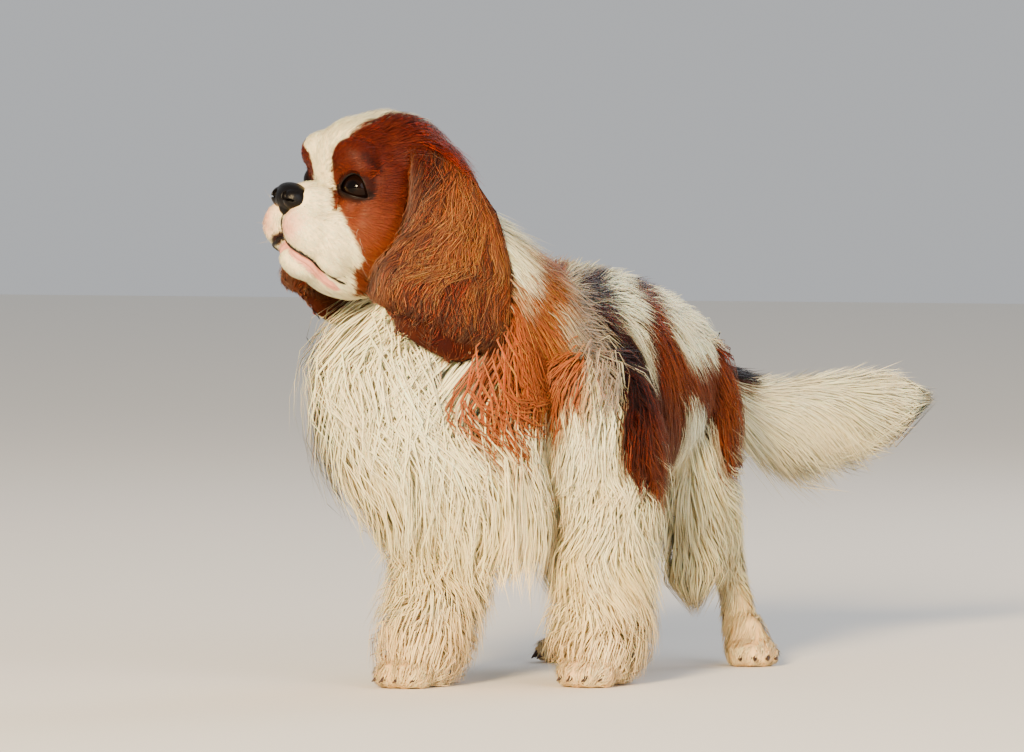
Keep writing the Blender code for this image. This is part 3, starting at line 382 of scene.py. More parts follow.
def bodyColour(points):
    x, y, z = (points - middle).T
    wander = latticeNoise(points, 0.016, 3) * 0.6 + latticeNoise(points, 0.006, 4) * 0.4
    other = np.where(x < 0, latticeNoise(points, 0.05, 9) * 0.010, 0)
    across = 0.9135 * np.abs(x) + 0.4067 * y + other
    colour = np.tile(toneOf["white"], (len(points), 1))

    # the chest's front and right stay white
    gate = np.maximum(ease(x, -0.012, 0.0), ease(y, -0.17, -0.13))

    def paint(name, shade, soft=0.003):
        mask = ease(outlineDistance(across, z, markings[name]) + wander * 0.004, -soft, soft) * gate
        colour[:] += (shade - colour) * mask[:, None]

    low = ease(z, 0.19, 0.05)
    warm = np.clip(0.25 + 0.55 * low + 0.30 * latticeNoise(points, 0.018, 21), 0, 1)
    colour = blend(colour, toneOf["cream"], warm)
    stain = ease(z, 0.075, 0.01) * (0.42 + 0.35 * wander)          # the legs get peachy towards the floor
    colour = blend(colour, toneOf["peach"], np.clip(stain, 0, 1))
    # painted shade on the flank: its own chestnut is painted near black towards the front and the top of the
    # patch, where shade falls
    depth = ease(across, 0.034, 0.062) * 0.8 + ease(z, 0.19, 0.15) * 0.4
    uneven = 1.0 + 0.25 * wander[:, None]
    # the later ones lie over the earlier ones
    paint("roan", toneOf["roan"], 0.007)
    paint("flank", blend(toneOf["dark"], toneOf["chestnut"], np.clip(depth + wander * 0.3, 0, 1)))
    paint("wedge", toneOf["white"])
    paint("rump", toneOf["chestnut"] * uneven, 0.005)
    paint("thigh", toneOf["white"])
    paint("croup", toneOf["white"])
    paint("tailRoot", toneOf["black"], 0.004)
    paint("shoulder", toneOf["fox"] * uneven, 0.008)
    return colour


def headColour(points):
    f, l, u = headCoordinates(points)
    wander = latticeNoise(points, 0.012, 5) * 0.6 + latticeNoise(points, 0.005, 6) * 0.4
    way = u - f                                            # how far up the face, from nose to crown
    blaze = np.interp(way, (-0.02, 0.0, 0.03, 0.05, 0.08, 0.095, 0.105, 0.112, 0.125, 0.14),
                      (0.013, 0.014, 0.018, 0.015, 0.009, 0.004, 0.003, 0.014, 0.017, 0.011))
    blaze = blaze + 0.013 * (l < 0) * ease(way, 0.002, 0.012) * ease(way, 0.115, 0.095)
    blaze = blaze - 0.003 * (l < 0) * ease(way, 0.002, -0.004)
    border = np.interp(u, (-0.10, -0.085, -0.072, -0.062, -0.050, -0.041, -0.030, -0.020, -0.010, 0.0, 0.004),
                       (-0.070, -0.045, -0.030, -0.022, -0.017, -0.010, -0.003, 0.002, 0.005, 0.007, 0.05))
    mask = ease(np.minimum(np.abs(l) - blaze, border - f) + wander * 0.0016, -0.0016, 0.0016)
    white = toneOf["white"] + (toneOf["cream"] - toneOf["white"]) * 0.15
    red = blend(toneOf["skull"], toneOf["cheek"], np.clip(ease(u, 0.012, -0.035) * 0.9 + wander * 0.3, 0, 1))
    for mirror in (1, -1):                                 # darker fur round the eyes and over the brow
        gap = eyeGap(points, mirror)
        red = blend(red, toneOf["dark"], 0.75 * ease(gap, 0.0175, 0.0145))
        _, s, r = onEye(points, mirror)
        corners = (s / 0.0165) ** 2 + ((r + 0.0035) / 0.0056) ** 2
        red = blend(red, toneOf["black"], 0.85 * ease(corners, 1.15, 0.75) * (gap < 0.02))
        t = np.clip(((f + 0.0025) * -0.0130 + (u - 0.0205) * -0.0063) / 0.000209, 0, 1)
        streak = np.hypot(f + 0.0025 + 0.0130 * t, u - 0.0205 + 0.0063 * t)
        red = blend(red, toneOf["dark"], 0.35 * ease(streak + wander * 0.001, 0.0045, 0.0015))
    colour = blend(white, red, mask)
    for l0 in (0.014, -0.014):                             # thin hair over pink skin beside the nose
        near = np.sqrt(((f - 0.026) / 0.0135) ** 2 + ((l - l0) / 0.010) ** 2 + ((u + 0.038) / 0.012) ** 2)
        colour = blend(colour, toneOf["pink"], 0.9 * ease(near + wander * 0.25, 1.35, 0.5))
    pinkBand = ease(nearestGap(points, lowerPoints) + wander * 0.0008, 0.0050, 0.0034)
    colour = blend(colour, toneOf["pink"], pinkBand)
    # the dark edge of the lips, broad at the front and broken up at the corners
    corner = ease(f, 0.002, -0.014) * (wander > 0.0) + ease(np.abs(l), 0.008, 0.004)
    front = ease(np.abs(l), 0.017, 0.010) * ease(f, 0.014, 0.022)
    gap = (nearestGap(points, lipPoints) + wander * 0.0012) / (1 + 1.3 * front)
    lipBand = ease(gap, 0.0024, 0.0012) * (0.5 + 0.5 * np.clip(corner + front, 0, 1))
    colour = blend(colour, toneOf["lip"], lipBand)
    return blend(colour, toneOf["white"], ease(f, -0.108, -0.118))     # the nape


def earColour(points):
    f, l, u = headCoordinates(points)
    wander = latticeNoise(points, 0.014, 7)
    # painted light: the ear is painted lighter across its middle, where the sun falls, and keeps its dark
    # tone at its top and its tip
    sunlit = np.interp(u, (-0.105, -0.085, -0.05, -0.02, 0.005, 0.022), (0.0, 0.02, 0.38, 0.58, 0.30, 0.0))
    sunlit = sunlit - 0.5 * ease(f, -0.052, -0.040) * ease(u, -0.04, -0.02)      # painted shadow where the ear's front edge stands off the cheek
    light = np.clip(sunlit + wander * 0.50 * ease(u, 0.03, 0.0), 0, 1)
    return blend(toneOf["ear"], toneOf["earSunlit"], light)


# The skin is all flesh as one closed surface. headCoat is how far it lies under the head's fur.
skinSettings = {"bodyVoxel": 0.0034, "bodyRounds": 6, "headVoxel": 0.0016, "headRounds": 5,
                "headCoat": 0.0024, "socketRoom": 0.0003}


def newObject(name, data):
    made = bpy.data.objects.new(name, data)
    bpy.context.scene.collection.objects.link(made)
    return made


def fromShape(name, shape, smooth=True):
    mesh = bpy.data.meshes.new(name)
    bmesh.ops.recalc_face_normals(shape, faces=shape.faces)
    shape.to_mesh(mesh)
    shape.free()
    if smooth:
        mesh.polygons.foreach_set("use_smooth", [True] * len(mesh.polygons))
    return newObject(name, mesh)


def ball(name, matrix, half, segments=32, rings=20):
    shape = bmesh.new()
    bmesh.ops.create_uvsphere(shape, u_segments=segments, v_segments=rings, radius=1.0)
    bmesh.ops.transform(shape, matrix=matrix @ Matrix.Diagonal((*half, 1.0)), verts=shape.verts)
    return fromShape(name, shape)


def tube(shape, rings):
    around = len(rings[0])
    for lower, upper in zip(rings, rings[1:]):
        for k in range(around):
            shape.faces.new((lower[k], lower[(k + 1) % around], upper[(k + 1) % around], upper[k]))
    shape.faces.new(rings[0])
    shape.faces.new(rings[-1])


def formSolid(form):
    shape = bmesh.new()
    rings = []
    around = 40
    turns = np.linspace(0, 2 * math.pi, around, endpoint=False)
    start, end = form["caps"]
    spots = np.concatenate((-start * np.array((0.92, 0.7, 0.4)), np.linspace(0, form["total"], 50),
                            form["total"] + end * np.array((0.4, 0.7, 0.92))))
    rounded = dict(form, openEnd=False)
    for spot in spots:
        points = onForm(rounded, np.full(around, spot), turns, np.zeros(around))[0]
        rings.append([shape.verts.new(Vector(point)) for point in points])
    tube(shape, rings)
    return fromShape(form["name"], shape)


# the object as its modifiers leave it
def applied(made):
    graph = bpy.context.evaluated_depsgraph_get()
    mesh = bpy.data.meshes.new_from_object(made.evaluated_get(graph))
    name = made.name
    bpy.data.objects.remove(made)
    return newObject(name, mesh)


def fused(name, pieces, voxel, rounds):
    shape = bmesh.new()
    for piece in pieces:
        shape.from_mesh(piece.data)
        bpy.data.objects.remove(piece)
    made = fromShape(name, shape, smooth=False)
    remesh = made.modifiers.new("skin", "REMESH")
    remesh.mode = "VOXEL"
    remesh.voxel_size = voxel
    relax = made.modifiers.new("relax", "SMOOTH")
    relax.factor = 0.5
    relax.iterations = rounds
    return applied(made)


def combined(made, operation, others):
    group = bpy.data.collections.new("joined")
    for other in others:
        group.objects.link(other)
    step = made.modifiers.new("step", "BOOLEAN")
    step.operation = operation
    step.operand_type = "COLLECTION"
    step.collection = group
    step.solver = "MANIFOLD"
    result = applied(made)
    bpy.data.collections.remove(group)
    for other in others:
        bpy.data.objects.remove(other)
    return result


def mirroredPlace(place, mirror):
    return (place[0], place[1] * mirror, *place[2:])


# a form on the head's middle line is made once, any other on both sides
def sidesOf(place):
    return (1, -1) if place[1] else (1,)


def eyeMatrix(mirror):
    return headMatrix(mirroredPlace(eyeSize["at"], mirror), math.radians(eyeSize["turn"]) * mirror)


# the eye's opening: arched above, flatter below
def almond(angle, mirror, grow=1.0):
    wide, high = eyeSize["wide"] * grow, eyeSize["high"] * grow
    lift = math.sin(angle)
    rise = high * (-0.40 + (1.42 * lift ** 1.45 if lift > 0 else -0.30 * abs(lift) ** 0.85))
    return wide * math.cos(angle) * mirror, rise - 0.0009 * math.cos(angle)


# a spot on the edge of the lids
def lidPoint(angle, mirror, reach, grow=1.0):
    across, rise = almond(angle, mirror, grow)
    ahead = math.sqrt(max(reach ** 2 - across ** 2 - rise ** 2, 1e-8))
    return eyeMatrix(mirror) @ Vector((ahead, across, rise))


def eyeCutter(mirror):
    shape = bmesh.new()
    steps = 40
    rings = []
    for depth, grow in ((0.0, 0.92), (eyeSize["radius"] * 0.85, 1.0), (eyeSize["radius"] * 2.0, 1.5)):
        ring = []
        for k in range(steps):
            across, rise = almond(2 * math.pi * k / steps, mirror, grow)
            ring.append(shape.verts.new(eyeMatrix(mirror) @ Vector((depth, across, rise))))
        rings.append(ring)
    tube(shape, rings)
    return fromShape("cutter", shape)


# ahead is how far a paw's middle stands in front of its leg's end
pawStance = {"fore": {"ahead": 0.010, "turn": 4, "scale": 1.0},
             "hind": {"ahead": 0.012, "turn": 42, "scale": 0.90}}


def pawMatrix(rows, mirror, step, wide, stance):
    foot = stepped(rows, mirror, step, wide)[-1]
    place = Matrix.Translation((foot[0] + centring[0], foot[1] + centring[1], 0))
    heading = Matrix.Rotation(-math.pi / 2 + math.radians(stance["turn"]) * mirror, 4, "Z")
    return place @ heading @ Matrix.Translation((stance["ahead"], 0, 0)) @ Matrix.Scale(stance["scale"], 4)


pawPlaces = []
for side, mirror, foreStep, hindStep, out in legSides:
    pawPlaces.append(pawMatrix(forelegRows, mirror, foreStep, out, pawStance["fore"]))
    pawPlaces.append(pawMatrix(hindlegRows, mirror, hindStep, 0.0, pawStance["hind"]))


# what the skin adds to the head's forms: full flews with a cleft between them, and cheeks that meet them
faceForms = (
    ((0.0145, 0.0125, -0.0365), (0.0205, 0.0130, 0.0160)), ((0.006, 0.015, -0.042), (0.024, 0.015, 0.0165)),
    ((-0.0080, 0.0240, -0.0400), (0.0210, 0.0125, 0.0210)), ((-0.014, 0.026, -0.018), (0.016, 0.011, 0.016)),
    ((0.0040, 0.0100, -0.0210), (0.0260, 0.0100, 0.0150)), ((-0.006, 0.019, 0.018), (0.0175, 0.020, 0.015)),
    ((-0.0480, 0.0080, 0.0130), (0.0420, 0.0370, 0.0420)))
# the front of the muzzle draws back between the flews
drawnBack = {(0.009, 0.0, -0.036): (0.006, 0.0, -0.035)}


def makeSkin():
    sizes = skinSettings
    solids = [formSolid(form) for name, form in forms.items() if not name.startswith(("ear_", "bib"))]
    solids.append(formSolid(forms["bib"]))
    for matrix in pawPlaces:
        solids += [ball("toe", matrix @ Matrix.Translation(place), half) for place, half in pawForms]
    body = fused("body", solids, sizes["bodyVoxel"], sizes["bodyRounds"])
    solids = []
    for place, half in headForms:
        place, slim = drawnBack.get(place, place), [size - sizes["headCoat"] for size in half]
        solids += [ball("form", headMatrix(mirroredPlace(place, mirror)), slim) for mirror in sidesOf(place)]
    for place, half in faceForms:
        solids += [ball("form", headMatrix(mirroredPlace(place, mirror)), half) for mirror in (1, -1)]
    lid, socket = eyeSize["radius"] + eyeSize["lid"], eyeSize["radius"] + sizes["socketRoom"]
    solids += [ball("lid", eyeMatrix(mirror), (lid,) * 3) for mirror in (1, -1)]
    solids += [formSolid(forms["ear_" + side]) for side in ("left", "right")]
    head = fused("head", solids, sizes["headVoxel"], sizes["headRounds"])
    skin = combined(body, "UNION", [head])
    cutters = [eyeCutter(mirror) for mirror in (1, -1)]
    cutters += [ball("socket", eyeMatrix(mirror), (socket,) * 3, 48, 32) for mirror in (1, -1)]
    skin = combined(skin, "DIFFERENCE", cutters)
    floor = bmesh.new()                                    # what lies under z = 0 is cut off
    bmesh.ops.create_cube(floor, size=1.0)
    below = Matrix.Translation((0, 0, -0.05)) @ Matrix.Diagonal((1, 1.2, 0.1, 1))
    bmesh.ops.transform(floor, matrix=below, verts=floor.verts)
    skin = combined(skin, "DIFFERENCE", [fromShape("floor", floor, smooth=False)])
    skin.name = skin.data.name = "skin"
    shape = bmesh.new()
    shape.from_mesh(skin.data)
    bmesh.ops.triangulate(shape, faces=shape.faces)
    shape.to_mesh(skin.data)
    shape.free()
    skin.data.polygons.foreach_set("use_smooth", [True] * len(skin.data.polygons))
    return skin


def unwrap(made):
    bpy.ops.object.select_all(action="DESELECT")
    bpy.context.view_layer.objects.active = made
    made.select_set(True)
    made.data.uv_layers.new(name="OFBake")
    bpy.ops.object.mode_set(mode="EDIT")
    bpy.ops.mesh.select_all(action="SELECT")
    bpy.ops.uv.smart_project(angle_limit=math.radians(66), island_margin=0.002)
    bpy.ops.object.mode_set(mode="OBJECT")
    made.select_set(False)


skin = makeSkin()
print("skin", len(skin.data.polygons), "triangles")
unwrap(skin)
skinTree = BVHTree.FromObject(skin, bpy.context.evaluated_depsgraph_get())
skinUv = np.zeros(len(skin.data.loops) * 2)
skin.data.uv_layers["OFBake"].data.foreach_get("uv", skinUv)
skinUv = skinUv.reshape(-1, 3, 2)
skinPoints = np.zeros(len(skin.data.vertices) * 3)
skin.data.vertices.foreach_get("co", skinPoints)
skinPoints = skinPoints.reshape(-1, 3)
skinFaces = np.zeros(len(skin.data.loops), np.int64)
skin.data.loops.foreach_get("vertex_index", skinFaces)
skinFaces = skinFaces.reshape(-1, 3)
print("skin unwrapped")


# the line of the lips on the head's left, from the middle back
mouthLine = ((0.0300, 0.0, -0.0465), (0.0300, 0.0060, -0.0490), (0.0300, 0.0110, -0.0522),
             (0.0220, 0.0220, -0.0565), (0.0110, 0.0260, -0.0625), (-0.0030, 0.0280, -0.0666),
             (-0.0200, 0.0310, -0.0699))
# radii of the dark line, the pink lower lip and the cleft under the nose, and the lip's drop below the line
lipSettings = {"line": 0.0013, "lower": 0.0027, "cleft": 0.0009, "drop": 0.0046}


# the whole line laid on the skin, with its last points left off where ends is set
def mouthPath(drop, out, ends=0):
    half = runThrough(np.array(mouthLine), np.linspace(0, 6, 31))[:31 - ends]
    half[:, 2] -= drop
    places = np.concatenate((half[::-1] * (1, -1, 1), half[1:]))
    points = []
    for place in places:
        inside = headPoint((-0.018, 0.0, place[2]))
        way = (inside - headPoint(place)).normalized()
        hit = skinTree.ray_cast(headPoint(place) - way * 0.02, way)[0]
        points.append(hit - way * out)
    return points


def swelling(count, most, least=0.25):
    return [most * (least + (1 - least) * math.sin(math.pi * i / (count - 1)) ** 0.6) for i in range(count)]


lipPoints = mouthPath(0.0, 0.0006)
lowerPoints = mouthPath(lipSettings["drop"], -0.0008, 2)


def nearestGap(points, path):
    return np.min([np.linalg.norm(points - np.array(spot), axis=1) for spot in path], axis=0)


# below 1 inside the head, above 1 outside it
def headNearness(points):
    f, l, u = headCoordinates(points)
    nearest = np.full(len(points), 9.0)
    for place, half in headForms + faceForms:
        for mirror in sidesOf(place):
            f0, l0, u0 = mirroredPlace(place, mirror)
            gap = ((f - f0) / half[0]) ** 2 + ((l - l0) / half[1]) ** 2 + ((u - u0) / half[2]) ** 2
            nearest = np.minimum(nearest, np.sqrt(gap))
    for mirror in (1, -1):
        nearest = np.minimum(nearest, eyeGap(points, mirror) / (eyeSize["radius"] + eyeSize["lid"]))
    return nearest


def onEars(points):
    left, right = (insideForm(forms["ear_" + side], points, 0.0, 0.002) for side in ("left", "right"))
    return left | right


def setColour(mesh, colours):
    layer = mesh.color_attributes.new("coat", "FLOAT_COLOR", "POINT")
    four = np.ones((len(colours), 4), np.float32)
    four[:, :3] = np.clip(colours, 0, 1)
    layer.data.foreach_set("color", four.ravel())


# painted shade: the skin shows between the strands, where their shadow falls, so it is coloured darker than
# the hair over it
nearHead = headNearness(skinPoints) < 1.10
onEar = onEars(skinPoints)
colours = bodyColour(skinPoints)
colours[nearHead] = headColour(skinPoints[nearHead])
colours[onEar & ~nearHead] = earColour(skinPoints[onEar & ~nearHead])
setColour(skin.data, colours * (0.70 + 0.25 * colours.mean(axis=1, keepdims=True)))
print("skin coloured")


# A strand is a closed blade of three sides. Its height is a share of half its width, and its underside one of
# its height. Softness is how far its normals turn out from the coat's, patch its size on the UV map, and
# lowest how near it comes to the floor.
strandForm = {"height": 0.22, "under": 0.4, "softness": 0.45, "patch": 0.003, "lowest": 0.0012}


def skinUvAt(points):
    result = np.zeros((len(points), 2))
    for i, point in enumerate(points):
        _, _, face, _ = skinTree.find_nearest(Vector(point))
        result[i] = skinUv[face].mean(axis=0)
    return result


def strandMesh(name, paths, normals, widths, colours, roots):
    count, rings = paths.shape[:2]
    tangents = unit(np.gradient(paths, axis=1))
    flat = unit(np.cross(tangents, normals))
    rise = unit(np.cross(flat, tangents))
    across = flat * widths[:, :, None]
    high = rise * (widths * strandForm["height"])[:, :, None]
    low = high * strandForm["under"]
    body = rings - 1
    corners = np.stack((paths + across - low, paths + high, paths - across - low), axis=2)[:, :body]
    corners = corners.reshape(count, body * 3, 3)
    vertices = np.concatenate((corners, paths[:, -1:]), axis=1)
    perStrand = body * 3 + 1
    faces = [(0, 1, 2)]
    for ring in range(body - 1):
        for k in range(3):
            a, b = ring * 3 + k, ring * 3 + (k + 1) % 3
            faces += [(a, a + 3, b + 3), (a, b + 3, b)]
    for k in range(3):
        faces.append(((body - 1) * 3 + k, perStrand - 1, (body - 1) * 3 + (k + 1) % 3))
    faces = np.array(faces)
    allFaces = (faces[None] + np.arange(count)[:, None, None] * perStrand).reshape(-1)
    mesh = bpy.data.meshes.new(name)
    mesh.vertices.add(count * perStrand)
    mesh.vertices.foreach_set("co", vertices.astype(np.float32).ravel())
    mesh.loops.add(len(allFaces))
    mesh.loops.foreach_set("vertex_index", allFaces.astype(np.int32))
    mesh.polygons.add(len(allFaces) // 3)
    mesh.polygons.foreach_set("loop_start", np.arange(0, len(allFaces), 3, dtype=np.int32))
    mesh.polygons.foreach_set("use_smooth", np.ones(len(allFaces) // 3, bool))
    mesh.update(calc_edges=True)
    tints = np.concatenate((np.repeat(colours[:, :body], 3, axis=1), colours[:, -1:]), axis=1)
    setColour(mesh, tints.reshape(-1, 3))
    turned = flat * strandForm["softness"]                  # light falls on a strand as on the coat under it
    soft = np.stack((normals + turned, normals, normals - turned), axis=2)[:, :body]
    soft = np.concatenate((soft.reshape(count, body * 3, 3), normals[:, -1:]), axis=1)
    mesh.normals_split_custom_set_from_vertices(unit(soft.reshape(-1, 3)))
    centres = skinUvAt(roots)
    patch = strandForm["patch"]
    local = np.zeros((perStrand, 2))
    for ring in range(body):
        for k in range(3):
            local[ring * 3 + k] = ((k - 1) / 2 * patch, (ring / rings - 0.5) * patch)
    local[-1] = (0, patch / 2)
    spots = np.clip(centres[:, None] + local[None], 0, 1).reshape(-1, 2)
    layer = mesh.uv_layers.new(name="OFBake")
    layer.data.foreach_set("uv", spots[allFaces].astype(np.float32).ravel())
    return newObject(name, mesh)


def nearestGuides(points, guides):
    tree = KDTree(len(guides))
    for i, point in enumerate(guides):
        tree.insert(point, i)
    tree.balance()
    return np.array([tree.find(point)[1] for point in points])


# draws the strands together in locks, then gives them width and colour
def dressed(name, paths, normals, settings, colourOf, roots):
    count, rings = paths.shape[:2]
    t = np.linspace(0, 1, rings)
    guideCount = max(4, int(count / settings["perLock"]))
    middles = paths[:, rings // 3]
    guide = nearestGuides(middles, middles[:guideCount])
    pull = np.clip(settings["clump"] * dice.uniform(0.25, 1.25, count), 0, 0.95)
    weight = pull[:, None] * t[None] ** 1.2
    paths = paths + weight[:, :, None] * (paths[guide] - paths)
    frizz = dice.normal(0, settings["frizz"], (count, 3))
    paths = paths + frizz[:, None] * (t ** 2)[None, :, None]
    paths[:, :, 2] = np.maximum(paths[:, :, 2], strandForm["lowest"])
    profile = np.interp(t, (0, 0.25, 0.7, 1), (0.7, 1.0, 0.75, 0.0))
    widths = settings["width"] / 2 * dice.uniform(0.7, 1.3, count)[:, None] * profile[None]
    shown = 0.82 * (rings - 1)                              # the colour is that of the part that shows
    before, part = int(shown), shown - int(shown)
    base = colourOf(paths[:, before] * (1 - part) + paths[:, before + 1] * part)
    lockShade = dice.normal(1.0, settings["lockShade"], guideCount)[guide]
    shade = lockShade * dice.normal(1.0, settings["strandShade"], count)
    # painted shade: the shares in rootToTip darken each strand towards its root, deep in the coat, and
    # lighten it a little towards its tip
    shading = np.interp(t, (0, 0.5, 1), settings["rootToTip"])
    tints = base[:, None] * np.clip(shade, 0.5, 1.6)[:, None, None] * shading[None, :, None]
    pale = settings["paleTips"] * t[None, :, None] * dice.uniform(0, 1, count)[:, None, None]
    tints = tints + (toneOf["paleTip"] - tints) * np.clip(pale, 0, 1)
    pieces = settings["pieces"]
    made = []
    for part in range(pieces):
        chosen = np.arange(part, count, pieces)
        made.append(strandMesh(name if pieces == 1 else f"{name}_{part + 1}", paths[chosen], normals[chosen],
                               widths[chosen], tints[chosen], roots[chosen]))
    return made


def wantedCount(settings):
    return settings["count"]


# turns each way into the coat's surface, and then by the noise's swing
def combed(way, normal, swing):
    way = unit(way - normal * (way * normal).sum(1, keepdims=True))
    return unit(way * np.cos(swing)[:, None] + np.cross(normal, way) * np.sin(swing)[:, None])


# Long hair leaves the body's form at share 0, runs along it and rises towards share 1 of its coat.
def longCoat(formName, settings, lie, colourOf):
    form = forms[formName]
    wanted = wantedCount(settings)
    tries = wanted * 6
    start, end = form["caps"]
    distance = dice.uniform(-start * settings["startCap"], form["total"] + end * settings["endCap"], tries)
    turn = dice.uniform(0, 2 * math.pi, tries)
    roots, _, _, _, radius = onForm(form, distance, turn, np.zeros(tries))
    keep = dice.uniform(0, 1, tries) < radius / radius.max()
    halfway = onForm(form, distance, turn, np.full(tries, 0.5))[0]
    for other in settings["clearOf"]:
        keep &= ~insideForm(forms[other], halfway, 0.0, -0.002)
    keep &= ~(headNearness(halfway) < settings["headRoom"])
    chosen = np.flatnonzero(keep)[:wanted]
    distance, turn, roots = distance[chosen], turn[chosen], roots[chosen]
    count, rings = len(chosen), settings["rings"]
    _, normal, along, roundWay, radius = onForm(form, distance, turn, np.full(count, 0.6))
    safe = np.maximum(radius, 0.006)
    way, length = lie(roots, normal, distance, turn, form)
    length = length * dice.uniform(0.65, 1.15, count)
    way = combed(way, normal, latticeNoise(roots, settings["swirlSize"], 11) * settings["swirl"])
    alongPart, roundPart = (way * along).sum(1), (way * roundWay).sum(1)
    # hair that runs towards the form's end stops soon after it
    room = np.maximum(form["total"] + settings["past"] - distance, 0.006) / np.maximum(alongPart, 0.2)
    length = np.where(alongPart > 0.2, np.minimum(length, room), length)
    reach = dice.uniform(settings["low"], settings["high"], count)
    flyaway = dice.uniform(0, 1, count) < settings["stray"]
    reach = np.where(flyaway, reach + dice.uniform(0.1, 0.5, count), reach)
    endings = distance + alongPart * length, turn + roundPart * length / safe
    outer, inner = (onForm(form, *endings, np.full(count, share))[0] for share in (1.0, 0.0))
    coatDepth = np.linalg.norm(outer - inner, axis=1)
    reach = np.minimum(reach, settings["stand"] * length / np.maximum(coatDepth, 0.001))
    phase = latticeNoise(roots, 0.03, 12) * 6
    paths, normals = np.zeros((count, rings, 3)), np.zeros((count, rings, 3))
    for k, t in enumerate(np.linspace(0, 1, rings)):
        run = length * t
        ripple = settings["wave"] * np.sin(phase + 2 * math.pi * run / settings["waveLength"]) * t
        d = distance + alongPart * run - roundPart * ripple
        a = turn + (roundPart * run + alongPart * ripple) / safe
        point, n, _, _, _ = onForm(form, d, a, reach * (1 - (1 - t) ** settings["rise"]))
        bump = settings["crimp"] * np.sin(2 * math.pi * d / settings["crimpLength"]) * t
        paths[:, k] = point + n * bump[:, None]
        normals[:, k] = n
    keep = np.ones(count, bool)
    for other in settings["avoid"]:
        keep &= ~insideForm(forms[other], paths.reshape(-1, 3), 1.0, 0.001).reshape(count, rings).any(axis=1)
    if settings["thinInside"]:                             # hair against the head can be sparse
        _, side, _ = headCoordinates(roots)
        inward = (normals[:, 0] @ np.array(headLeft)) * np.sign(side) < -0.2
        keep &= ~(inward & (dice.uniform(0, 1, count) < settings["thinInside"]))
    return dressed("coat_" + formName, paths[keep], normals[keep], settings, colourOf, roots[keep])


# each lie gives the way that the hair runs and its length
def trunkLie(roots, normal, distance, turn, form):
    low = np.sin(turn)                                     # -1 on the ridge, 1 under the belly
    fall = np.interp(low, (-1, -0.85, -0.5, 0.0, 0.4, 1), (0.05, 0.8, 1.8, 2.6, 3.0, 1.8))
    fall = fall * (1 + 1.2 * ease(distance / form["total"], 0.45, 0.15))
    way = back[None] + down[None] * fall[:, None]
    length = np.interp(low, (-1, -0.3, 0.3, 1), (0.034, 0.044, 0.052, 0.050))
    return way, length


def neckLie(roots, normal, distance, turn, form):
    napeward = np.sin(turn)
    along = np.array((0.25, 0.72, -0.64))
    way = along[None] + down[None] * np.interp(napeward, (-1, 0, 1), (1.2, 0.8, 0.0))[:, None]
    return way, np.interp(napeward, (-1, 0, 1), (0.050, 0.052, 0.044))


def bibLie(roots, normal, distance, turn, form):
    wrap = np.clip(normal[:, 0] * 1.4, 0, 1)                # the left side sweeps back over the shoulder
    way = np.tile(down, (len(roots), 1)) + normal * 0.1 + back * (0.6 * wrap)[:, None]
    return way, 0.072 + 0.020 * ease(distance / form["total"], 0.4, 0.8)


def legLie(roots, normal, distance, turn, form):
    behind = -np.sin(turn)                                  # 1 at the back of the leg
    way = down[None] + back[None] * (0.15 + 0.35 * np.clip(behind, 0, 1))[:, None]
    short = np.interp(distance / form["total"], (0, 0.6, 1), (1.0, 0.9, 0.5))
    return way, (0.052 + 0.012 * np.clip(behind, 0, 1)) * short


def hindLie(roots, normal, distance, turn, form):
    way = down[None] + back[None] * 0.25 + np.zeros((len(roots), 1))
    short = np.interp(distance / form["total"], (0, 0.5, 0.68, 0.8, 1), (1.0, 0.95, 0.5, 0.3, 0.25))
    return way, 0.054 * short


def fringeLie(roots, normal, distance, turn, form):
    return np.tile(down, (len(roots), 1)), np.full(len(roots), 0.044)


def tailLie(roots, normal, distance, turn, form):
    low = np.sin(turn)
    fall = np.interp(low, (-1, 0, 1), (0.1, 0.35, 0.8))
    way = np.array(tailWay)[None] + down[None] * fall[:, None]
    return way, np.interp(low, (-1, 0, 1), (0.050, 0.066, 0.082))


def earLie(roots, normal, distance, turn, form):
    f, l, u = headCoordinates(roots)
    spread = np.clip((f + 0.072) / 0.05, -1, 1)
    way = -np.array(headUp)[None] + np.array(headForward)[None] * (spread * 0.22)[:, None]
    return way, np.interp(distance / form["total"], (0, 0.5, 1), (0.052, 0.056, 0.034))


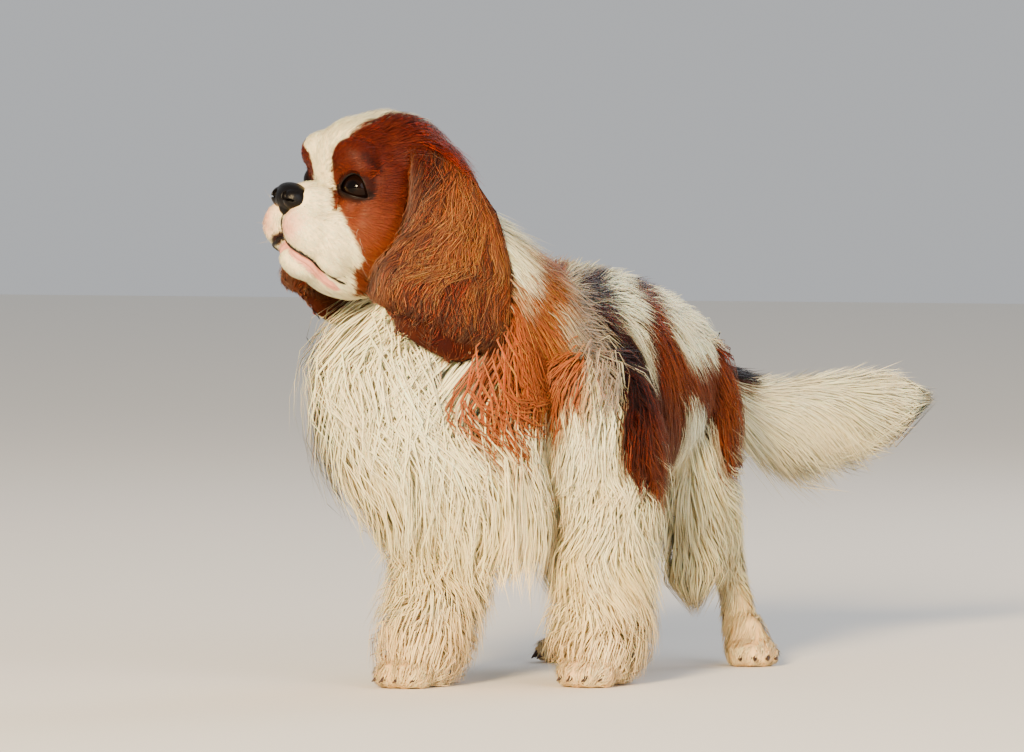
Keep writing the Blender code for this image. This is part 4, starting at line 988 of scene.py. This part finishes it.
# count is how many strands, perLock how many in a lock, clump how far they join and frizz how far tips part.
# low and high are the shares of the coat's depth that tips reach, stand the steepest rise, and rise how soon.
# past is how far they run beyond the form's end, startCap and endCap how much of its round ends they grow on.
# clearOf names forms that roots keep out of, avoid those that whole strands do, and headRoom is for the head.
coatDefaults = {
    "pieces": 1, "rings": 4, "startCap": 0.9, "endCap": 0.9, "past": 0.008, "clearOf": (), "avoid": (),
    "headRoom": 0.9, "thinInside": 0.0, "low": 0.55, "high": 1.08, "stand": 0.5, "rise": 2.4, "stray": 0.02,
    "swirlSize": 0.03, "wave": 0.0, "waveLength": 0.03, "crimp": 0.0, "crimpLength": 0.034, "paleTips": 0.0,
}
ears = ("ear_left", "ear_right")
coatSettings = {
    "trunk": {"count": 27000, "pieces": 2, "rings": 3, "width": 0.00105, "perLock": 28, "clump": 0.38,
              "frizz": 0.0018, "lockShade": 0.07, "strandShade": 0.10, "rootToTip": (0.90, 0.98, 1.05),
              "swirl": 0.30, "wave": 0.004, "waveLength": 0.08, "low": 0.45, "high": 1.05,
              "clearOf": ("neck", "bib", "tail"), "avoid": ears},
    "neck": {"count": 10500, "rings": 3, "width": 0.0011, "perLock": 26, "clump": 0.38,
             "frizz": 0.0024, "lockShade": 0.06, "strandShade": 0.08, "rootToTip": (0.92, 0.99, 1.04),
             "swirl": 0.45, "low": 0.6, "high": 1.25, "stand": 0.8, "stray": 0.08,
             "clearOf": ("trunk", "bib"), "avoid": ears},
    "bib": {"count": 7000, "rings": 6, "width": 0.0014, "perLock": 34, "clump": 0.38,
            "frizz": 0.0030, "lockShade": 0.04, "strandShade": 0.07, "rootToTip": (0.90, 0.99, 1.04),
            "swirl": 0.6, "swirlSize": 0.024, "wave": 0.014, "waveLength": 0.060, "low": 0.55, "high": 1.12,
            "stand": 0.85, "rise": 3.6, "stray": 0.05, "past": 0.004, "endCap": 0.45,
            "clearOf": ("trunk",), "avoid": ears},
    "foreleg": {"count": 8600, "rings": 3, "width": 0.0012, "perLock": 30, "clump": 0.32,
                "frizz": 0.0020, "lockShade": 0.04, "strandShade": 0.08, "rootToTip": (0.92, 0.99, 1.04),
                "swirl": 0.3, "wave": 0.007, "waveLength": 0.10, "low": 0.55, "high": 1.30,
                "stand": 0.7, "rise": 3.2, "past": 0.020, "endCap": 0.2, "clearOf": ("trunk",)},
    "hindleg": {"count": 6000, "rings": 3, "width": 0.0011, "perLock": 30, "clump": 0.35,
                "frizz": 0.0018, "lockShade": 0.04, "strandShade": 0.08, "rootToTip": (0.92, 0.99, 1.04),
                "swirl": 0.35, "wave": 0.006, "waveLength": 0.10, "low": 0.45, "high": 1.35,
                "stand": 0.8, "stray": 0.04, "endCap": 0.2, "clearOf": ("trunk",)},
    "fringe": {"count": 1500, "width": 0.0012, "perLock": 26, "clump": 0.5,
               "frizz": 0.0014, "lockShade": 0.06, "strandShade": 0.08, "rootToTip": (0.92, 0.99, 1.04),
               "swirl": 0.3, "low": 0.45, "high": 1.5, "stray": 0.06, "past": 0.006},
    "tail": {"count": 10500, "rings": 3, "width": 0.0011, "perLock": 34, "clump": 0.38,
             "frizz": 0.0026, "lockShade": 0.04, "strandShade": 0.06, "rootToTip": (0.94, 0.99, 1.03),
             "swirl": 0.28, "low": 0.35, "high": 1.12, "stand": 0.95, "rise": 1.6, "stray": 0.04,
             "past": 0.010, "clearOf": ("trunk",)},
    "ear": {"count": 6600, "rings": 5, "width": 0.0009, "perLock": 36, "clump": 0.62,
            "frizz": 0.0012, "lockShade": 0.20, "strandShade": 0.15, "rootToTip": (0.62, 0.88, 1.12),
            "swirl": 0.35, "swirlSize": 0.02, "wave": 0.0042, "waveLength": 0.034, "crimp": 0.0020,
            "low": 0.5, "high": 1.1, "headRoom": 0.86, "paleTips": 0.06, "endCap": 0.0, "past": -0.012,
            "thinInside": 0.6},
}
coatPieces = {}


def layCoat(kind, lie, colourOf, side=""):
    coatPieces[kind + side] = longCoat(kind + side, {**coatDefaults, **coatSettings[kind]}, lie, colourOf)


layCoat("trunk", trunkLie, bodyColour)
layCoat("neck", neckLie, bodyColour)
layCoat("bib", bibLie, bodyColour)
layCoat("tail", tailLie, bodyColour)
for side in ("_left", "_right"):
    layCoat("foreleg", legLie, bodyColour, side)
    layCoat("hindleg", hindLie, bodyColour, side)
    layCoat("fringe", fringeLie, bodyColour, side)
    layCoat("ear", earLie, earColour, side)
print("long coat laid")


# short fur is rooted on the skin itself and follows it
def shortCoat(name, mask, settings, wayOf, sizeOf, colourOf):
    faces = np.flatnonzero(mask)
    corners = skinPoints[skinFaces[faces]]
    areas = np.linalg.norm(np.cross(corners[:, 1] - corners[:, 0], corners[:, 2] - corners[:, 0]), axis=1)
    wanted = wantedCount(settings)
    picked = dice.choice(len(faces), wanted, p=areas / areas.sum())
    a, b = dice.uniform(0, 1, wanted), dice.uniform(0, 1, wanted)
    flip = a + b > 1
    a, b = np.where(flip, 1 - a, a), np.where(flip, 1 - b, b)
    c = corners[picked]
    roots = c[:, 0] + (c[:, 1] - c[:, 0]) * a[:, None] + (c[:, 2] - c[:, 0]) * b[:, None]
    normal = unit(np.cross(c[:, 1] - c[:, 0], c[:, 2] - c[:, 0]))
    keep = ~settings["bare"](roots)
    roots, normal = roots[keep], normal[keep]
    count = len(roots)
    way = combed(wayOf(roots), normal, latticeNoise(roots, 0.012, 14) * settings["swirl"])
    length, stand = sizeOf(roots)
    length = length * dice.uniform(0.7, 1.15, count)
    stand = stand * dice.uniform(0.5, 1.1, count)
    rings = settings["rings"]
    paths, normals = np.zeros((count, rings, 3)), np.zeros((count, rings, 3))
    for k, t in enumerate(np.linspace(0, 1, rings)):
        spots = roots + way * (length * t)[:, None]
        height = stand * (1 - (1 - t) ** 2)
        for i, spot in enumerate(spots):
            near, found, _, _ = skinTree.find_nearest(Vector(spot))
            if found.dot(Vector(normal[i])) < 0.3:         # it has found the skin's other side
                near, found = Vector(spot), Vector(normal[i])
            paths[i, k] = near + found * (height[i] - 0.0004 * (t == 0))
            normals[i, k] = found
    return dressed(name, paths, normals, settings, colourOf, roots)


faceCentres = skinPoints[skinFaces].mean(axis=1)
faceOnHead = headNearness(faceCentres) < 1.06
faceOnEar = onEars(faceCentres)
noseTip = np.array(headPoint((0.036, 0, -0.016)))


def headBare(points):
    f, l, u = headCoordinates(points)
    bare = ((f - 0.0275) / 0.0130) ** 2 + (l / 0.0165) ** 2 + ((u + 0.019) / 0.0125) ** 2 < 1
    for mirror in (1, -1):
        d, s, r = onEye(points, mirror)
        bare |= (d > 0) & ((s / (eyeSize["wide"] + 0.0012)) ** 2 + (r / (eyeSize["high"] + 0.0008)) ** 2 < 1)
    return bare | (nearestGap(points, lowerPoints) < 0.0032)


def headWay(points):
    f, l, u = headCoordinates(points)
    way = unit(points - noseTip)
    overEar = ease(f, -0.030, -0.048) * ease(np.abs(l), 0.010, 0.028) * ease(u, -0.02, 0.005)
    drop = ease(f, -0.01, -0.05) * ease(u, 0.0, -0.05) + ease(f, -0.03, -0.06) * ease(np.abs(l), 0.015, 0.035)
    return way + down * (drop * 0.9 + overEar * 1.4)[:, None] - np.array(headForward) * 0.25


def headSizes(points):
    f, l, u = headCoordinates(points)
    behind = ease(f, 0.03, -0.06)
    length = 0.0045 + 0.007 * behind + 0.008 * ease(u, -0.03, -0.08) * behind
    length = length + 0.012 * ease(f, -0.02, -0.05) * ease(np.abs(l), 0.010, 0.030)
    for mirror in (1, -1):
        length = length * (0.45 + 0.55 * ease(eyeGap(points, mirror), 0.014, 0.024))
    crown = ease(u, 0.025, 0.050)
    overEar = ease(f, -0.028, -0.045) * ease(np.abs(l), 0.012, 0.024) * ease(u, -0.010, 0.010)
    stand = 0.0007 + 0.0016 * behind + 0.0030 * crown + 0.0020 * overEar
    return length + 0.006 * crown + 0.016 * overEar, stand


headSettings = {"count": 19500, "pieces": 1, "rings": 3, "width": 0.00075, "perLock": 14, "clump": 0.35,
                "frizz": 0.0003, "lockShade": 0.05, "strandShade": 0.08, "rootToTip": (0.88, 0.98, 1.06),
                "swirl": 0.18, "paleTips": 0.0, "bare": headBare}
coatPieces["head"] = shortCoat("coat_head", faceOnHead & ~faceOnEar, headSettings, headWay, headSizes,
                               headColour)
print("head fur laid")

pawHigh = 0.044                                            # above this the long coat of the legs takes over
faceOnPaw = (faceCentres[:, 2] < pawHigh) & (faceCentres[:, 2] > 0.001)


def pawWay(points):
    return np.tile(down * 0.7 - back * 0.6, (len(points), 1))


def pawSizes(points):
    high = ease(points[:, 2], 0.004, 0.024)
    return 0.009 + 0.009 * high, 0.0016 + 0.0030 * high


pawSettings = {"count": 6500, "pieces": 1, "rings": 3, "width": 0.0008, "perLock": 14, "clump": 0.5,
               "frizz": 0.0006, "lockShade": 0.06, "strandShade": 0.08, "rootToTip": (0.82, 0.98, 1.06),
               "swirl": 0.3, "paleTips": 0.0, "bare": lambda points: points[:, 2] < 0.002}
coatPieces["paws"] = shortCoat("coat_paws", faceOnPaw, pawSettings, pawWay, pawSizes, bodyColour)
print("paw fur laid")


def material(name):
    made = bpy.data.materials.new(name)
    made.use_nodes = True
    made.node_tree.nodes.clear()
    return made


# adds a node with its settings, its links and the values of its sockets
def node(tree, kind, settings=None, links=None, **values):
    made = tree.nodes.new(kind)
    for key, value in (settings or {}).items():
        setattr(made, key, value)
    for key, value in values.items():
        made.inputs[key.replace("_", " ")].default_value = value
    for key, source in (links or {}).items():
        tree.links.new(source, made.inputs[key])
    return made


def finishShader(made, shader):
    output = node(made.node_tree, "ShaderNodeOutputMaterial")
    made.node_tree.links.new(shader.outputs["BSDF"], output.inputs["Surface"])
    return made


# the coat's own colour, made uneven by noise in so many flecks for each metre
def flecked(tree, perMetre, detail, darkest, lightest):
    colour = node(tree, "ShaderNodeAttribute", {"attribute_name": "coat"})
    place = node(tree, "ShaderNodeTexCoord").outputs["Object"]
    grain = node(tree, "ShaderNodeTexNoise", links={"Vector": place}, Scale=perMetre, Detail=detail)
    grain = grain.outputs["Fac"]
    strength = node(tree, "ShaderNodeMapRange", links={"Value": grain}, To_Min=darkest, To_Max=lightest)
    tint = node(tree, "ShaderNodeVectorMath", {"operation": "SCALE"},
                {0: colour.outputs["Color"], "Scale": strength.outputs["Result"]})
    return tint.outputs["Vector"], grain


# Long silky dog's hair, grown and brushed. Its scales lie flat and it is barely oily, so the eye gets a broad
# soft sheen and no glint, and some light comes through its pale ends. A hair is 0.07 mm thick, too fine to
# show, so the flecks are as wide as a tuft: 1000 / 900 = 1.1 mm.
def hairMaterial():
    made = material("silky_dog_hair")
    tree = made.node_tree
    tint, _ = flecked(tree, 900.0, 2.0, 0.82, 1.16)
    return finishShader(made, node(
        tree, "ShaderNodeBsdfPrincipled", links={"Base Color": tint}, Roughness=0.46, IOR=1.55,
        Specular_IOR_Level=0.10, Subsurface_Weight=0.30, Subsurface_Scale=0.003))


# Skin with the short undercoat on it, as it shows between the strands: down that stands in all ways, so it is
# matt and a little rough to the eye. Its clumps are 1000 / 700 = 1.4 mm wide and stand 0.6 mm high.
def skinMaterial():
    made = material("short_fur_and_skin")
    tree = made.node_tree
    tint, grain = flecked(tree, 700.0, 4.0, 0.7, 1.2)
    bump = node(tree, "ShaderNodeBump", links={"Height": grain}, Strength=0.5, Distance=0.0006)
    return finishShader(made, node(
        tree, "ShaderNodeBsdfPrincipled", links={"Base Color": tint, "Normal": bump.outputs["Normal"]},
        Roughness=0.62, Specular_IOR_Level=0.12))


hair, skinFinish = hairMaterial(), skinMaterial()
skin.data.materials.clear()
skin.data.materials.append(skinFinish)
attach(skin, "root")
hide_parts("head", "neck", "torso", "tail", "ear_left", "ear_right", "foreleg_left", "foreleg_right",
            "hindleg_left", "hindleg_right")
for part, group in coatPieces.items():
    for piece in group:
        piece.data.materials.append(hair)
        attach(piece, "root")


# A dark brown eye under its film of tears, which is as smooth as still water: one small sharp light shows on
# near black. It has no pattern, and 1.376 is the cornea's own IOR.
def eyeMaterial():
    made = material("wet_eye")
    tree = made.node_tree
    colour = node(tree, "ShaderNodeAttribute", {"attribute_name": "coat"})
    return finishShader(made, node(
        tree, "ShaderNodeBsdfPrincipled", links={"Base Color": colour.outputs["Color"]}, Roughness=0.06,
        IOR=1.376, Specular_IOR_Level=0.16))


# bare skin or horn, grown in small cells: so many for each metre, with creases of a depth between them
def grownFinish(name, code, roughness, perMetre, depth):
    made = material(name)
    tree = made.node_tree
    place = node(tree, "ShaderNodeTexCoord").outputs["Object"]
    cells = node(tree, "ShaderNodeTexVoronoi", {"feature": "DISTANCE_TO_EDGE"}, {"Vector": place},
                 Scale=perMetre)
    bump = node(tree, "ShaderNodeBump", links={"Height": cells.outputs["Distance"]}, Strength=0.6,
                Distance=depth)
    cloud = node(tree, "ShaderNodeTexNoise", links={"Vector": place}, Scale=perMetre / 6)
    ramp = node(tree, "ShaderNodeValToRGB", links={"Fac": cloud.outputs["Fac"]})
    for element, share in zip(ramp.color_ramp.elements, (0.7, 1.3)):
        element.color = (*[v * share for v in tone(code)], 1)
    return finishShader(made, node(
        tree, "ShaderNodeBsdfPrincipled", Roughness=roughness, Specular_IOR_Level=0.18,
        links={"Base Color": ramp.outputs["Color"], "Normal": bump.outputs["Normal"]}))


# A dog's bare nose, grown in pebbles 1000 / 900 = 1.1 mm wide and 0.3 mm high, and licked damp. It is black,
# with a soft gloss that the pebbles break up.
noseLeather = grownFinish("pebbled_nose_leather", "#060404", 0.34, 900.0, 0.0003)
# The bare edge of lids and lips, creased every 1000 / 1600 = 0.6 mm and damp from tears and tongue: a thin
# dark line with a dull shine. The lashes are as dark and share it.
lidSkin = grownFinish("damp_lid_skin", "#0d0705", 0.45, 1600.0, 0.0001)
# The lower lip's bare skin without pigment, creased every 1000 / 1400 = 0.7 mm and nearly dry: dull pink.
lipSkin = grownFinish("lip_skin", "#cf8c7a", 0.62, 1400.0, 0.0001)
wetEye = eyeMaterial()


# how far the pupil, the iris and the cornea reach from the eye's middle, and how far the cornea stands out
eyeParts = {"pupil": 0.0040, "iris": 0.0088, "cornea": 0.0085, "bulge": 0.0006}
# the lids' edge: where it lies in the lids' thickness, its radius, and how much thicker it is above
lidEdge = {"steps": 72, "seat": 0.55, "radius": 0.00065, "upper": 0.00025}


def makeEye(side, mirror):
    made = ball("eyeball_" + side, eyeMatrix(mirror), (eyeSize["radius"],) * 3, 64, 40)
    inverse = eyeMatrix(mirror).inverted()
    centre = eyeMatrix(mirror).translation
    colours = []
    for vert in made.data.vertices:
        local = inverse @ vert.co
        off = math.hypot(local.y, local.z) if local.x > 0 else 0.02      # the back has the rim's colour
        if local.x > 0:
            swell = max(0.0, 1 - (off / eyeParts["cornea"]) ** 2)
            vert.co += (vert.co - centre).normalized() * eyeParts["bulge"] * swell
        part = "pupil" if off < eyeParts["pupil"] else "iris" if off < eyeParts["iris"] else "eyeRim"
        colours.append(toneOf[part])
    setColour(made.data, np.array(colours))
    made.data.materials.append(wetEye)
    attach(made, "root")
    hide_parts("eye_" + side)


# a round cord through the points
def ropeThrough(name, points, radii, around=10, closed=False):
    shape = bmesh.new()
    count = len(points)
    rings = []
    guide = None
    for i in range(count):
        if closed:
            ahead = points[(i + 1) % count] - points[i - 1]
        else:
            ahead = points[min(i + 1, count - 1)] - points[max(i - 1, 0)]
        ahead.normalize()
        if guide is None:
            guide = ahead.orthogonal().normalized()
        guide = (guide - ahead * guide.dot(ahead)).normalized()
        other = ahead.cross(guide)
        rings.append([shape.verts.new(points[i] + (guide * math.cos(a) + other * math.sin(a)) * radii[i])
                      for a in (2 * math.pi * k / around for k in range(around))])
    pairs = list(zip(rings, rings[1:])) + ([(rings[-1], rings[0])] if closed else [])
    for lower, upper in pairs:
        shift = 0
        if closed and upper is rings[0]:                   # the last ring may meet the first one turned
            shift = min(range(around), key=lambda s: (upper[s].co - lower[0].co).length)
        for k in range(around):
            after, near, far = (k + 1) % around, (k + shift) % around, (k + 1 + shift) % around
            shape.faces.new((lower[k], lower[after], upper[far], upper[near]))
    if not closed:
        shape.faces.new(rings[0])
        shape.faces.new(rings[-1])
    return fromShape(name, shape)


def makeLids(side, mirror):
    reach = eyeSize["radius"] + eyeSize["lid"] * lidEdge["seat"]
    angles = [2 * math.pi * k / lidEdge["steps"] for k in range(lidEdge["steps"])]
    points = [lidPoint(angle, mirror, reach) for angle in angles]
    radii = [lidEdge["radius"] + lidEdge["upper"] * max(0, math.sin(angle)) for angle in angles]
    made = ropeThrough("lids_" + side, points, radii, closed=True)
    made.data.materials.append(lidSkin)
    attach(made, "root")


for side, mirror in (("left", 1), ("right", -1)):
    makeEye(side, mirror)
    makeLids(side, mirror)
print("eyes set")


# centres and half sizes, as of the head's forms: pad, top, base, wings, then slit, nostrils and their commas
noseSettings = {
    "voxel": 0.0006, "rounds": 4,
    "forms": (((0.0275, 0, -0.0195), (0.0100, 0.0130, 0.0100)),
              ((0.0265, 0, -0.0150), (0.0095, 0.0135, 0.0065)),
              ((0.0275, 0, -0.0270), (0.0065, 0.0050, 0.0055)),
              ((0.0272, 0.0082, -0.0200), (0.0100, 0.0072, 0.0080))),
    "slit": ((0.0390, 0, -0.0290), (0.0050, 0.0006, 0.0110)),
    "openings": (((0.0372, 0.0064, -0.0190), (0.0046, 0.0028, 0.0034)),
                 ((0.0345, 0.0112, -0.0215), (0.0045, 0.0038, 0.0011))),
}


def makeNose():
    solids = [ball("form", headMatrix(mirroredPlace(place, mirror)), half)
              for place, half in noseSettings["forms"] for mirror in sidesOf(place)]
    nose = fused("nose_pad", solids, noseSettings["voxel"], noseSettings["rounds"])
    place, half = noseSettings["slit"]
    cutters = [ball("slit", headMatrix(place), half)]
    for mirror in (1, -1):
        for place, half in noseSettings["openings"]:
            cutters.append(ball("opening", headMatrix(mirroredPlace(place, mirror)), half))
    nose = combined(nose, "DIFFERENCE", cutters)
    nose.data.polygons.foreach_set("use_smooth", [True] * len(nose.data.polygons))
    nose.data.materials.clear()
    nose.data.materials.append(noseLeather)
    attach(nose, "root")
    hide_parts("nose")


makeNose()


# mouth: the dark line of the lips, the pink lower lip, and the cleft from the nose down to the line
lipLine = ropeThrough("lip_line", lipPoints, swelling(len(lipPoints), lipSettings["line"]))
lipLine.data.materials.append(lidSkin)
lowerLip = ropeThrough("lower_lip", lowerPoints, swelling(len(lowerPoints), lipSettings["lower"]))
lowerLip.data.materials.append(lipSkin)
cleftCount = 12
cleftPoints = []
for k in range(cleftCount):
    start = headPoint((0.060, 0, -0.0300 - 0.0165 * k / (cleftCount - 1)))
    hit = skinTree.ray_cast(start, -headForward)[0]
    cleftPoints.append(hit + headForward * 0.0001)
cleft = ropeThrough("lip_cleft", cleftPoints, [lipSettings["cleft"]] * cleftCount)
cleft.data.materials.append(lidSkin)
for piece in (lipLine, lowerLip, cleft):
    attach(piece, "root")
print("nose and mouth made")


# whiskers, lashes and claws come from one tree, which sets a bent, tapered horn on each point along its aim
def hornTree():
    tree = bpy.data.node_groups.new("bent_horns", "GeometryNodeTree")
    face = tree.interface
    face.new_socket("Points", in_out="INPUT", socket_type="NodeSocketGeometry")
    for name, kind, value in (("Length", "Float", 0.02), ("Thickness", "Float", 0.0003),
                              ("Bend", "Float", 0.2), ("Sides", "Int", 3), ("Rings", "Int", 4),
                              ("Finish", "Material", None)):
        socket = face.new_socket(name, in_out="INPUT", socket_type="NodeSocket" + kind)
        if value is not None:
            socket.default_value = value
    face.new_socket("Horns", in_out="OUTPUT", socket_type="NodeSocketGeometry")
    given = node(tree, "NodeGroupInput").outputs
    line = node(tree, "GeometryNodeCurvePrimitiveLine", End=(0, 0, 1))
    rings = node(tree, "GeometryNodeResampleCurve",
                 links={"Curve": line.outputs["Curve"], "Count": given["Rings"]})
    share = node(tree, "GeometryNodeSplineParameter").outputs["Factor"]
    bow = node(tree, "ShaderNodeMath", {"operation": "MULTIPLY"}, {0: share, 1: share})
    side = node(tree, "ShaderNodeMath", {"operation": "MULTIPLY"}, {0: bow.outputs[0], 1: given["Bend"]})
    place = node(tree, "ShaderNodeCombineXYZ", links={"X": side.outputs[0], "Z": share})
    long = node(tree, "ShaderNodeVectorMath", {"operation": "SCALE"},
                {"Vector": place.outputs[0], "Scale": given["Length"]})
    bent = node(tree, "GeometryNodeSetPosition",
                links={"Geometry": rings.outputs[0], "Position": long.outputs[0]})
    taper = node(tree, "ShaderNodeMapRange", links={"Value": share}, To_Min=1.0, To_Max=0.12)
    thick = node(tree, "ShaderNodeMath", {"operation": "MULTIPLY"},
                 {0: taper.outputs[0], 1: given["Thickness"]})
    outline = node(tree, "GeometryNodeCurvePrimitiveCircle", links={"Resolution": given["Sides"]}, Radius=0.5)
    horn = node(tree, "GeometryNodeCurveToMesh", links={
        "Curve": bent.outputs[0], "Profile Curve": outline.outputs[0], "Scale": thick.outputs[0]})
    horn.inputs["Fill Caps"].default_value = True
    aim = node(tree, "GeometryNodeInputNamedAttribute", {"data_type": "FLOAT_VECTOR"}, Name="aim")
    size = node(tree, "GeometryNodeInputNamedAttribute", {"data_type": "FLOAT"}, Name="size")
    turned = node(tree, "FunctionNodeAlignRotationToVector", {"axis": "Z"},
                  {"Vector": aim.outputs["Attribute"]})
    placed = node(tree, "GeometryNodeInstanceOnPoints", links={
        "Points": given["Points"], "Instance": horn.outputs[0], "Rotation": turned.outputs[0],
        "Scale": size.outputs["Attribute"]})
    real = node(tree, "GeometryNodeRealizeInstances", links={"Geometry": placed.outputs[0]})
    smooth = node(tree, "GeometryNodeSetShadeSmooth", links={"Geometry": real.outputs[0]})
    finish = node(tree, "GeometryNodeSetMaterial",
                  links={"Geometry": smooth.outputs[0], "Material": given["Finish"]})
    node(tree, "NodeGroupOutput", links={"Horns": finish.outputs[0]})
    return tree


horns = hornTree()


def hornPiece(name, points, aims, sizes, finish, settings):
    mesh = bpy.data.meshes.new(name)
    mesh.from_pydata([tuple(point) for point in points], [], [])
    aimed = mesh.attributes.new("aim", "FLOAT_VECTOR", "POINT")
    aimed.data.foreach_set("vector", np.ravel(aims).astype(np.float32))
    sized = mesh.attributes.new("size", "FLOAT", "POINT")
    sized.data.foreach_set("value", np.array(sizes, np.float32))
    made = newObject(name, mesh)
    step = made.modifiers.new("horns", "NODES")
    step.node_group = horns
    values = {"Finish": finish, "Length": settings["length"], "Thickness": settings["thickness"],
              "Bend": settings["bend"], "Sides": settings["sides"], "Rings": settings["rings"]}
    for item in horns.interface.items_tree:
        if item.in_out == "INPUT" and item.name in values:
            step[item.identifier] = values[item.name]
    made = applied(made)
    made.name = made.data.name = name
    if not made.data.materials:
        made.data.materials.append(finish)
    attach(made, "root")


# a claw's bend is downwards
whiskerSettings = {"rows": 4, "perRow": 5, "length": 0.024, "thickness": 0.00030, "bend": 0.28, "sides": 4,
                   "rings": 7}
lashSettings = {"count": 15, "seat": 0.8, "length": 0.0052, "thickness": 0.00034, "bend": 0.35, "sides": 3,
                "rings": 5}
clawSettings = {"size": 0.95, "high": 0.0085, "length": 0.0072, "thickness": 0.0056, "bend": -0.30,
                "sides": 10, "rings": 7}
# A claw's horn grows in layers and wears smooth on the ground: dark brown and dull, with cells
# 1000 / 500 = 2 mm wide.
hornFinish = grownFinish("dark_claw_horn", "#3a2c26", 0.40, 500.0, 0.0001)
# A whisker is one stiff pale bristle with a dull shine. Its colour changes every 6 x 1000 / 900 = 7 mm.
whiskerFinish = grownFinish("whisker_hair", "#b8a890", 0.45, 900.0, 0.00002)


def whiskerPlaces():
    points, aims, sizes = [], [], []
    for mirror in (1, -1):
        for row in range(whiskerSettings["rows"]):
            for k in range(whiskerSettings["perRow"]):
                start = headPoint((0.020 - 0.007 * k - 0.002 * row, 0.060 * mirror, -0.030 - 0.0055 * row))
                hit = skinTree.ray_cast(start, -headLeft * mirror)
                points.append(hit[0] - hit[1] * 0.0005)
                aims.append(hit[1] + headForward * dice.uniform(-0.5, 0.1) - headUp * dice.uniform(0.1, 0.7))
                sizes.append(dice.uniform(0.55, 1.1))
    return points, aims, sizes


def lashPlaces(mirror):
    points, aims, sizes = [], [], []
    reach, grow = eyeSize["radius"] + eyeSize["lid"] * lashSettings["seat"], 1.04
    for k in range(lashSettings["count"]):
        angle = math.radians(18 + 144 * k / (lashSettings["count"] - 1))
        across, _ = almond(angle, mirror, grow)
        points.append(lidPoint(angle, mirror, reach, grow))
        aims.append(eyeMatrix(mirror).to_3x3() @ Vector((1.0, across * 50, 0.55 + dice.uniform(-0.15, 0.15))))
        sizes.append(dice.uniform(0.7, 1.1))
    return points, aims, sizes


hornPiece("whiskers", *whiskerPlaces(), whiskerFinish, whiskerSettings)
for side, mirror in (("left", 1), ("right", -1)):
    hornPiece("lashes_" + side, *lashPlaces(mirror), lidSkin, lashSettings)
clawPoints, clawAims = [], []
for matrix in pawPlaces:
    for place, half in pawForms[2:]:                       # the toes
        clawPoints.append(matrix @ Vector((place[0] + half[0] * 0.72, place[1], clawSettings["high"])))
        clawAims.append(matrix.to_3x3() @ Vector((1.0, place[1] * 8, -0.55)))
hornPiece("claws", clawPoints, clawAims, [clawSettings["size"]] * len(clawPoints), hornFinish, clawSettings)
print("whiskers, lashes and claws set")

# the camera's framing follows the photograph's; lens and sensor are in mm, so the view is a long one
cameraSettings = {"at": (2.4352, -5.6094, 0.40), "heading": 24.0, "tilt": 1.71, "lens": 295.3, "sensor": 36.0,
                  "far": 60.0}
camera = newObject("camera", bpy.data.cameras.new("camera"))
camera.location = Vector(cameraSettings["at"]) + centring
camera.rotation_euler = (math.radians(90 - cameraSettings["tilt"]), 0,
                         math.radians(cameraSettings["heading"]))
camera.data.lens = cameraSettings["lens"]
camera.data.sensor_width = cameraSettings["sensor"]
camera.data.clip_end = cameraSettings["far"]
bpy.context.scene.camera = camera

# studio: a pale floor, a warm low key light from the front, a faint fill and rim, and an even sky
lampSettings = {
    "key": {"at": (1.3, -7.6, 2.6), "target": (0, 0, 0.22), "size": 1.6, "watts": 2350.0, "tone": "#ffe0b0"},
    "fill": {"at": (2.8, -1.8, 1.4), "target": (0, 0, 0.2), "size": 2.4, "watts": 60.0, "tone": "#f2f5ff"},
    "rim": {"at": (0.6, 2.8, 2.2), "target": (0, 0, 0.25), "size": 1.6, "watts": 40.0, "tone": "#f4f6ff"},
}
skySettings = {"Color": (0.90, 0.92, 0.95, 1), "Strength": 0.58}
floorSettings = {"size": 12.0, "tone": "#e9e6df", "roughness": 0.8}
for name, settings in lampSettings.items():
    lamp = bpy.data.lights.new(name, "AREA")
    lamp.shape = "DISK"
    lamp.size, lamp.energy, lamp.color = settings["size"], settings["watts"], tone(settings["tone"])
    made = newObject(name, lamp)
    made.location = settings["at"]
    aim = Vector(settings["target"]) - Vector(settings["at"])
    made.rotation_euler = aim.to_track_quat("-Z", "Y").to_euler()
world = bpy.data.worlds.new("studio")
bpy.context.scene.world = world
world.use_nodes = True
for key, value in skySettings.items():
    world.node_tree.nodes["Background"].inputs[key].default_value = value

# A studio's paper floor, pressed matt: it takes soft shadows and mirrors nothing. It has no pattern.
floorShape = bmesh.new()
bmesh.ops.create_grid(floorShape, x_segments=2, y_segments=2, size=floorSettings["size"])
floor = fromShape("studio_floor", floorShape)
floorFinish = material("matt_pale_floor")
floorShader = node(floorFinish.node_tree, "ShaderNodeBsdfPrincipled", Roughness=floorSettings["roughness"],
                   Base_Color=(*tone(floorSettings["tone"]), 1))
finishShader(floorFinish, floorShader)
floor.data.materials.append(floorFinish)

bpy.context.view_layer.update()
print("scene ready")
